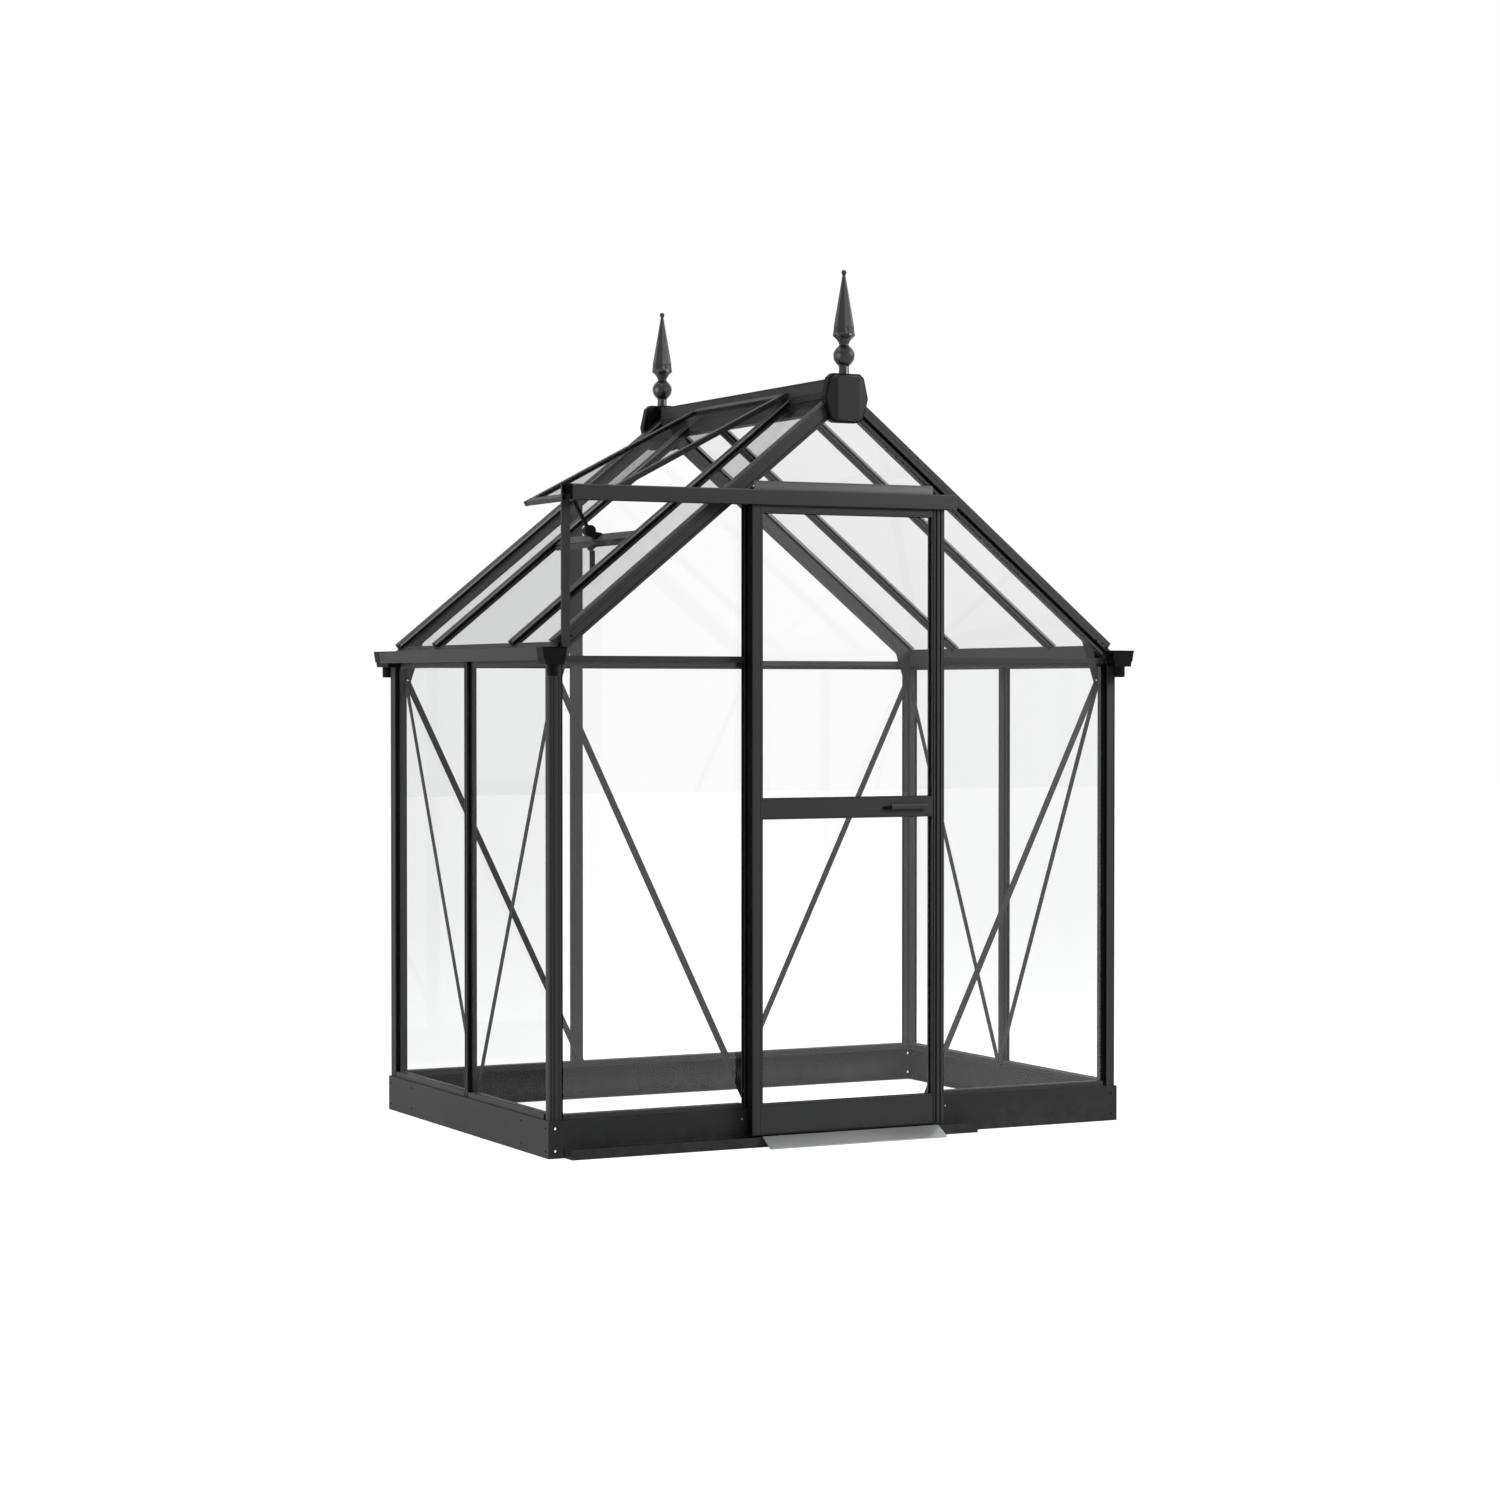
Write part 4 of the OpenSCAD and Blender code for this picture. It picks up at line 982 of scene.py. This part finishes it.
# ---------- door ----------
DOOR_X = DOOR_LOW.x
DOOR_Y = DOOR_LOW.y - FRONT
DOOR_FOOT, DOOR_HEAD = DOOR_LOW.z, DOOR_HIGH.z
DOOR_END = DOOR_HIGH.x
DOOR_T = 30.0
LEFT_W, RIGHT_W = 34.0, 41.0
LEFT_STILE = [
    (0, 0), (2.4, 0), (2.8, 0.7), (3.6, 0.7), (4.0, 0), (25, 0), (25.4, 0.8), (26.4, 0.8),
    (26.8, 0), (LEFT_W, 0), (LEFT_W, DOOR_T), (0, DOOR_T),
]
RIGHT_STILE = [
    (0, 0), (1.6, 0), (2.2, 2.4), (5, 2.4), (5.6, 0), (10.2, 0), (10.6, 6), (16, 6),
    (16.4, 0), (25.2, 0), (25.8, 4), (29.8, 4), (30.4, 0), (RIGHT_W, 0), (RIGHT_W, DOOR_T),
    (0, DOOR_T),
]
GLASS_LEFT, GLASS_RIGHT = DOOR_X + LEFT_W, DOOR_END - RIGHT_W
# Heights of the rails: kick panel, middle rail, top rail
KICK_LOW, KICK_HIGH = 34.0, 124.0
MIDDLE_LOW, MIDDLE_HIGH = 963.0, 1023.0
TOP_LOW, TOP_HIGH = 1862.0, 1894.0
# Each with its grooves (height, width, depth)
RAILS = (
    (MIDDLE_LOW, MIDDLE_HIGH, [(965.4, 2.0, 1.0), (1018.0, 2.0, 1.0)]),
    (TOP_LOW, TOP_HIGH, [(1864.6, 1.6, 0.8), (1880.0, 3.0, 2.0)]),
    (KICK_LOW, KICK_HIGH, [(34.4, 2.6, 2.4), (118.4, 1.8, 1.0)]),
)
PANES = ((KICK_HIGH, MIDDLE_LOW), (MIDDLE_HIGH, TOP_LOW))
SEAL_NEAR, SEAL_FAR = DOOR_Y + 10.5, DOOR_Y + 19.5


def rail_outline(low, high, grooves):
    """A door rail across: (depth, height) with fine grooves on its face."""
    points = [(0.0, low)]
    for z, wide, depth in grooves:
        points += [(0.0, z), (depth, z + GROOVE_SIDE)]
        points += [(depth, z + wide - GROOVE_SIDE), (0.0, z + wide)]
    return points + [(0.0, high), (DOOR_T, high), (DOOR_T, low)]


bm = bmesh.new()
foot, head = at(DOOR_X, DOOR_Y, DOOR_FOOT), at(DOOR_X, DOOR_Y, DOOR_HEAD)
extrude(bm, LEFT_STILE, foot, head, RIGHT, IN)
offset = at(GLASS_RIGHT - DOOR_X, 0, 0)
extrude(bm, RIGHT_STILE, foot + offset, head + offset, RIGHT, IN)
rail_start, rail_stop = at(GLASS_LEFT, DOOR_Y, 0), at(GLASS_RIGHT, DOOR_Y, 0)
for rail in RAILS:
    extrude(bm, rail_outline(*rail), rail_start, rail_stop, IN, UP)
piece(
    "door_leaf", bm, "frame", "door", ("door_frame", "kick_panel"), ease=0.3
)

# Seals: along the leaf's left edge, and round both panes
bm = bmesh.new()
edge_low = (DOOR_X - 0.9, DOOR_Y + 0.6, DOOR_FOOT + 1)
edge_high = (DOOR_X + 0.2, DOOR_Y + DOOR_T - 0.6, DOOR_HEAD - 1)
block(bm, edge_low, edge_high)
for low, high in PANES:
    for x_low, x_high in (
        (GLASS_LEFT - 0.5, GLASS_LEFT + 2.0), (GLASS_RIGHT - 2.0, GLASS_RIGHT + 0.5)
    ):
        block(bm, (x_low, SEAL_NEAR, low), (x_high, SEAL_FAR, high))
    for z_low, z_high in ((low - 0.5, low + 1.8), (high - 1.8, high + 0.5)):
        block(bm, (GLASS_LEFT, SEAL_NEAR, z_low), (GLASS_RIGHT, SEAL_FAR, z_high))
piece("door_seals", bm, "seal", "door", ease=0.3)

# A black strip on the left door post, behind the shut door's edge: a brush strip, and painted shade
# where the door shades the post
bm = bmesh.new()
block(bm, (-328.5, 4.4, BASE_H + 14), (-309.0, 6.3, 1906.0))
piece("door_brush_and_shade", bm, "seal", ease=0.4)

# Pull: a slim grip with a rounded upper lip on two feet, and a black shape beside it that paints
# the pull's shadow on the door
handle_low, handle_high = [Vector(c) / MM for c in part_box("door_handle")]
handle_y = handle_low.y - FRONT
handle_z = (handle_low.z + handle_high.z) / 2
GRIP = [
    (0.6, -6.5), (0, -4.5), (0, 4.0), (1.6, 7.4), (4.2, 8.4), (6.0, 7.6), (3.6, 5.6),
    (2.8, 3.0), (2.8, -5.5), (2.2, -6.5),
]
# Outline of a black shape on the door beside the grip: the pull's painted shadow.
PULL_SHADOW = [
    (0, -3), (6, -6), (17, -5.5), (30, -2.5), (38, -3.0), (38, 3.5), (28, 4.4), (18, 3.0),
    (8, 4.0), (0, 1),
]
GRIP_FROM = 24.0
FOOT_PLACES = (handle_low.x + 30, handle_high.x - 22)
bm = bmesh.new()
grip_start = at(handle_low.x + GRIP_FROM, handle_y, handle_z)
extrude(bm, GRIP, grip_start, at(handle_high.x, handle_y, handle_z), IN, UP)
for x in FOOT_PLACES:
    near = (x, handle_y + 2.4, handle_z - 4.5)
    block(bm, near, (x + 12, DOOR_Y + 0.5, handle_z + 4.5))
piece("door_pull", bm, "frame", "door", ("door_handle",), ease=0.4)
# The pull's painted shadow: a thin black shape on the door's face.
bm = bmesh.new()
shadow_z = handle_z - 1.5
shadow_start = at(handle_low.x, handle_y + 3.0, shadow_z)
extrude(bm, PULL_SHADOW, shadow_start, at(handle_low.x, DOOR_Y + 0.4, shadow_z), RIGHT, UP)
piece("door_pull_shadow", bm, "seal", "door", ease=0.8)

# ---------- header and lintel ----------
header_low, header_high = [Vector(c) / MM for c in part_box("door_header")]
head_x0, head_x1 = header_low.x, header_high.x
head_z0, head_z1 = header_low.z, header_high.z
RUNNER = head_z0 + 17.0
# Sections (y, z): a hood open below, with the flange that the door's wheels run on
HEADER = [
    (-54, head_z0), (-51, head_z0), (-51, head_z1 - 3), (-6, head_z1 - 3), (-6, RUNNER),
    (-22, RUNNER), (-22, RUNNER - 3), (-6, RUNNER - 3), (-6, head_z0), (-3, head_z0),
    (-3, head_z1), (-49.4, head_z1), (-54, head_z1 - 3.6),
]
# A pale sliver on the header's top front edge: a painted highlight.
HEADER_HIGHLIGHT = [
    (-53.6, head_z1 - 3.4), (-49.2, head_z1 + 0.05), (-48.6, head_z1 - 0.6),
    (-53.2, head_z1 - 4.2),
]
LINTEL_HIGHLIGHT = [
    (4.6, 1932.4), (5.8, 1932.0), (5.8, 1959.0), (4.9, 1959.0), (4.9, 1944.0),
    (4.3, 1943.0),
]
LINTEL_HALF = 303.0
# The left end is black, painted shade of the profile's open end; it has the same section, so that
# the door slides through it
LEFT_END = head_x0 + 9.0

bm = bmesh.new()
extrude(bm, HEADER, RIGHT * LEFT_END, RIGHT * head_x1, IN, UP)
for x in (-BAR_X, BAR_X):
    block(bm, (x - 12, -3, head_z0), (x + 12, 6, head_z1))
piece("header_profile", bm, "frame", stands_for=("door_header",), ease=0.4)
# The black left end, painted shade of the open profile, and a black plug in the right end.
bm = bmesh.new()
extrude(bm, HEADER, RIGHT * head_x0, RIGHT * LEFT_END, IN, UP)
block(bm, (head_x1 - 4.0, -50.8, head_z0 + 1), (head_x1 - 0.2, -6.2, head_z1 - 3.2))
piece("header_ends", bm, "seal", ease=0.5)
bm = bmesh.new()
extrude(bm, HEADER_HIGHLIGHT, RIGHT * (LEFT_END + 0.4), RIGHT * (head_x1 - 0.2), IN, UP)
piece("header_highlight", bm, "pale")
# The lintel's face above the header: a thin strip in the lighter grey of a painted highlight.
bm = bmesh.new()
extrude(bm, LINTEL_HIGHLIGHT, RIGHT * -LINTEL_HALF, RIGHT * LINTEL_HALF, IN, UP)
piece("lintel_painted_highlight", bm, "painted_highlight_grey")

# ---------- small fixings ----------
RAFTER_SCREWS = ((54.0, 14.5), (79.0, 22.0))  # (up the slope, under the roof line)
BASE_BOLT_X, BASE_BOLT_Z = 345.0, 79.5
BASE_SCREW_HEIGHTS, BASE_SCREW_IN = (89.0, 24.0), 200.0
PLATE_NUTS = ((52.0, 1452.0), (74.0, 1478.0))  # (in from the base's side, height)
POST_NUT_HEIGHTS = (1330.0, 88.0)
POST_NUT_IN, POST_NUT_BACK = 43.0, 80.0


def dome_head(bm, place, way, radius, rise):
    profile = [
        (radius, -0.6), (radius, rise * 0.35), (radius * 0.72, rise * 0.8),
        (radius * 0.3, rise),
    ]
    turned(bm, place, way, profile, 14)


def hexagon(bm, place, way, radius, height):
    profile = [(radius, -0.4), (radius, height * 0.8), (radius * 0.86, height)]
    turned(bm, place, way, profile, 6)


black_screws, bright_screws = bmesh.new(), bmesh.new()
for side in (-1, 1):
    for end in (-1, 1):
        face_y = INSET if end < 0 else LENGTH - INSET
        base_y = 0.0 if end < 0 else LENGTH
        out = IN * end
        for s, under in RAFTER_SCREWS:
            dome_head(black_screws, on_roof(side, s, face_y, -under), out, 3.4, 2.2)
        bolt_place = at(side * BASE_BOLT_X, base_y, BASE_BOLT_Z)
        dome_head(bright_screws, bolt_place, out, 3.2, 1.8)
    for z in BASE_SCREW_HEIGHTS:
        for y in (BASE_SCREW_IN, LENGTH - BASE_SCREW_IN):
            dome_head(black_screws, at(side * HALF_W, y, z), RIGHT * side, 3.0, 1.6)
piece("small_screws", black_screws, "seal")
piece("base_bolts", bright_screws, "alloy")

nuts = bmesh.new()
for side in (-1, 1):
    for end in (-1, 1):
        from_plate, from_post = BEHIND_RAFTERS + PLATE_T, POST_NUT_BACK
        if end > 0:
            from_plate, from_post = LENGTH - from_plate, LENGTH - from_post
        for u, z in PLATE_NUTS:
            hexagon(nuts, at(side * (HALF_W - u), from_plate, z), IN * -end, 5.5, 4.0)
        for z in POST_NUT_HEIGHTS:
            place = at(side * (HALF_W - POST_NUT_IN), from_post, z)
            hexagon(nuts, place, RIGHT * -side, 5.0, 3.6)
piece("plate_nuts", nuts, "frame")

# ---------- vent: four rails, each with a lip along its outer face ----------
VENT_PITCH = math.radians(27.6)
VENT_ALONG = at(math.cos(VENT_PITCH), 0, math.sin(VENT_PITCH))
VENT_OUT = at(-math.sin(VENT_PITCH), 0, math.cos(VENT_PITCH))
HINGE_X, HINGE_OUT = 20.0, 20.5
HINGE_Z = EAVE + (HALF_W - HINGE_X) * math.tan(PITCH) + HINGE_OUT / COS_P
VENT_HINGE = at(-HINGE_X, 0, HINGE_Z)
VENT_L = 694.0
VENT_T = 16.0
VENT_RAIL = [
    (0, 0), (28, 0), (28, -3.2), (21.5, -3.2), (21.5, -5.4), (20, -5.4), (20, -10.6),
    (24, -10.6), (24, -13), (20, -16), (2.5, -16), (0, -13.5),
]
vent_y0, vent_y1 = [(Vector(c) / MM).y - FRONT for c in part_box("vent_frame")]
vent_top = -(VENT_T * math.sin(VENT_PITCH) + 0.3) / math.cos(VENT_PITCH)


def on_vent(s, y):
    """A point s up the vent's face from its hinge line."""
    return VENT_HINGE + VENT_ALONG * s + IN * y


bm = bmesh.new()
for y, way in ((vent_y0, IN), (vent_y1, -IN)):
    extrude(bm, VENT_RAIL, on_vent(-VENT_L, y), on_vent(vent_top, y), way, VENT_OUT)
for s, way in ((-VENT_L, VENT_ALONG), (vent_top, -VENT_ALONG)):
    start, stop = on_vent(s, vent_y0 + 1), on_vent(s, vent_y1 - 1)
    extrude(bm, VENT_RAIL, start, stop, way, VENT_OUT)
piece("vent_rails", bm, "frame", stands_for=("vent_frame",), ease=0.4)

# ---------- sheet parts and plain bars: eased copies ----------
for node_name in ("base_left", "base_right", "base_back", "base_front"):
    eased_copy(node_name, "base", 1.2)
eased_copy("base_brackets", "base", 0.6)
for node_name in (
    "sills", "front_crossbars", "back_crossbars", "eave_beam_left", "eave_beam_right",
    "side_braces", "header_strut", "vent_sill",
):
    eased_copy(node_name, "frame", 0.7)
eased_copy("gable_braces", "frame", 0.7, lean=BRACE_LEAN)
eased_copy("bottom_rail", "base", 0.6)
for node_name in ("ramp", "threshold"):
    eased_copy(node_name, "alloy", 0.6)
eased_copy("vent_opener", "black", 0.8)
eased_copy("door_rollers", "black", 0.5, "door")


# ---------- stage ----------
CAMERA_PLACE = (-4.7373, -9.3179, 1.3408)
CAMERA_DOWN, CAMERA_TURN = 0.0179, -0.4694  # radians
LENS, SENSOR = 79.7, 36.0
WHITE = (1.0, 1.0, 1.0, 1.0)
FLOOR_GREY = (0.55, 0.55, 0.55, 1.0)
WORLD_FILL = 0.16  # what the white world lights with; the eye sees it at 1
FLOOR_GLOW = 0.93
FLOOR_HALF = 30.0
FLOOR_Z = -0.0005


def make_camera():
    data = bpy.data.cameras.new("camera")
    data.lens = LENS
    data.sensor_width = SENSOR
    data.clip_end = 200.0
    camera = new_object("camera", data)
    camera.location = CAMERA_PLACE
    camera.rotation_euler = (math.pi / 2 - CAMERA_DOWN, 0.0, CAMERA_TURN)
    bpy.context.scene.camera = camera


def make_lamp(name, place, target, size, power):
    """A round softbox of size metres and power watts, turned to target."""
    data = bpy.data.lights.new(name, "AREA")
    data.shape = "DISK"
    data.size = size
    data.energy = power
    lamp = new_object(name, data)
    lamp.location = place
    way = Vector(target) - Vector(place)
    lamp.rotation_euler = way.to_track_quat("-Z", "Y").to_euler()


def seen_directly(tree):
    """1 for camera, glossy and transmission rays, 0 for the rest."""
    paths = add(tree, "ShaderNodeLightPath")
    camera, glossy = paths.outputs["Is Camera Ray"], paths.outputs["Is Glossy Ray"]
    ways = math_node(tree, "MAXIMUM", camera, glossy)
    return math_node(tree, "MAXIMUM", ways, paths.outputs["Is Transmission Ray"])


def make_world():
    """White all round to the eye, and only a faint fill as light."""
    world = bpy.data.worlds.new("white_studio")
    bpy.context.scene.world = world
    world.use_nodes = True
    tree = world.node_tree
    soft = tree.nodes["Background"]
    filled(soft, Color=WHITE, Strength=WORLD_FILL)
    shown = filled(add(tree, "ShaderNodeBackground"), Color=WHITE, Strength=1.0)
    mix = mixed_shader(tree, seen_directly(tree), soft, shown)
    link(tree, mix.outputs[0], tree.nodes["World Output"].inputs["Surface"])


def make_floor():
    bm = bmesh.new()
    bmesh.ops.create_grid(bm, x_segments=8, y_segments=8, size=FLOOR_HALF)
    mesh = bpy.data.meshes.new("floor")
    bm.to_mesh(mesh)
    bm.free()
    material, tree, shader = new_material("pale_floor")
    filled(shader, Base_Color=FLOOR_GREY, Roughness=0.9, Specular_IOR_Level=0.1)
    filled(shader, Emission_Color=WHITE)
    glow = math_node(tree, "MULTIPLY", seen_directly(tree), FLOOR_GLOW)
    link(tree, glow, shader.inputs["Emission Strength"])
    mesh.materials.append(material)
    floor = new_object("floor", mesh)
    floor.location.z = FLOOR_Z


make_camera()
make_world()
make_floor()
make_lamp("left_softbox", (-6.0, 0.6, 2.0), (0.0, 0.0, 1.1), 3.0, 100.0)
make_lamp("front_softbox", (2.9, -2.9, 3.3), (0.0, -0.3, 1.3), 1.8, 106.0)
make_lamp("top_softbox", (0.0, 0.5, 6.5), (0.0, 0.0, 0.0), 4.5, 70.0)

scene = bpy.context.scene
scene.view_settings.view_transform = "Standard"
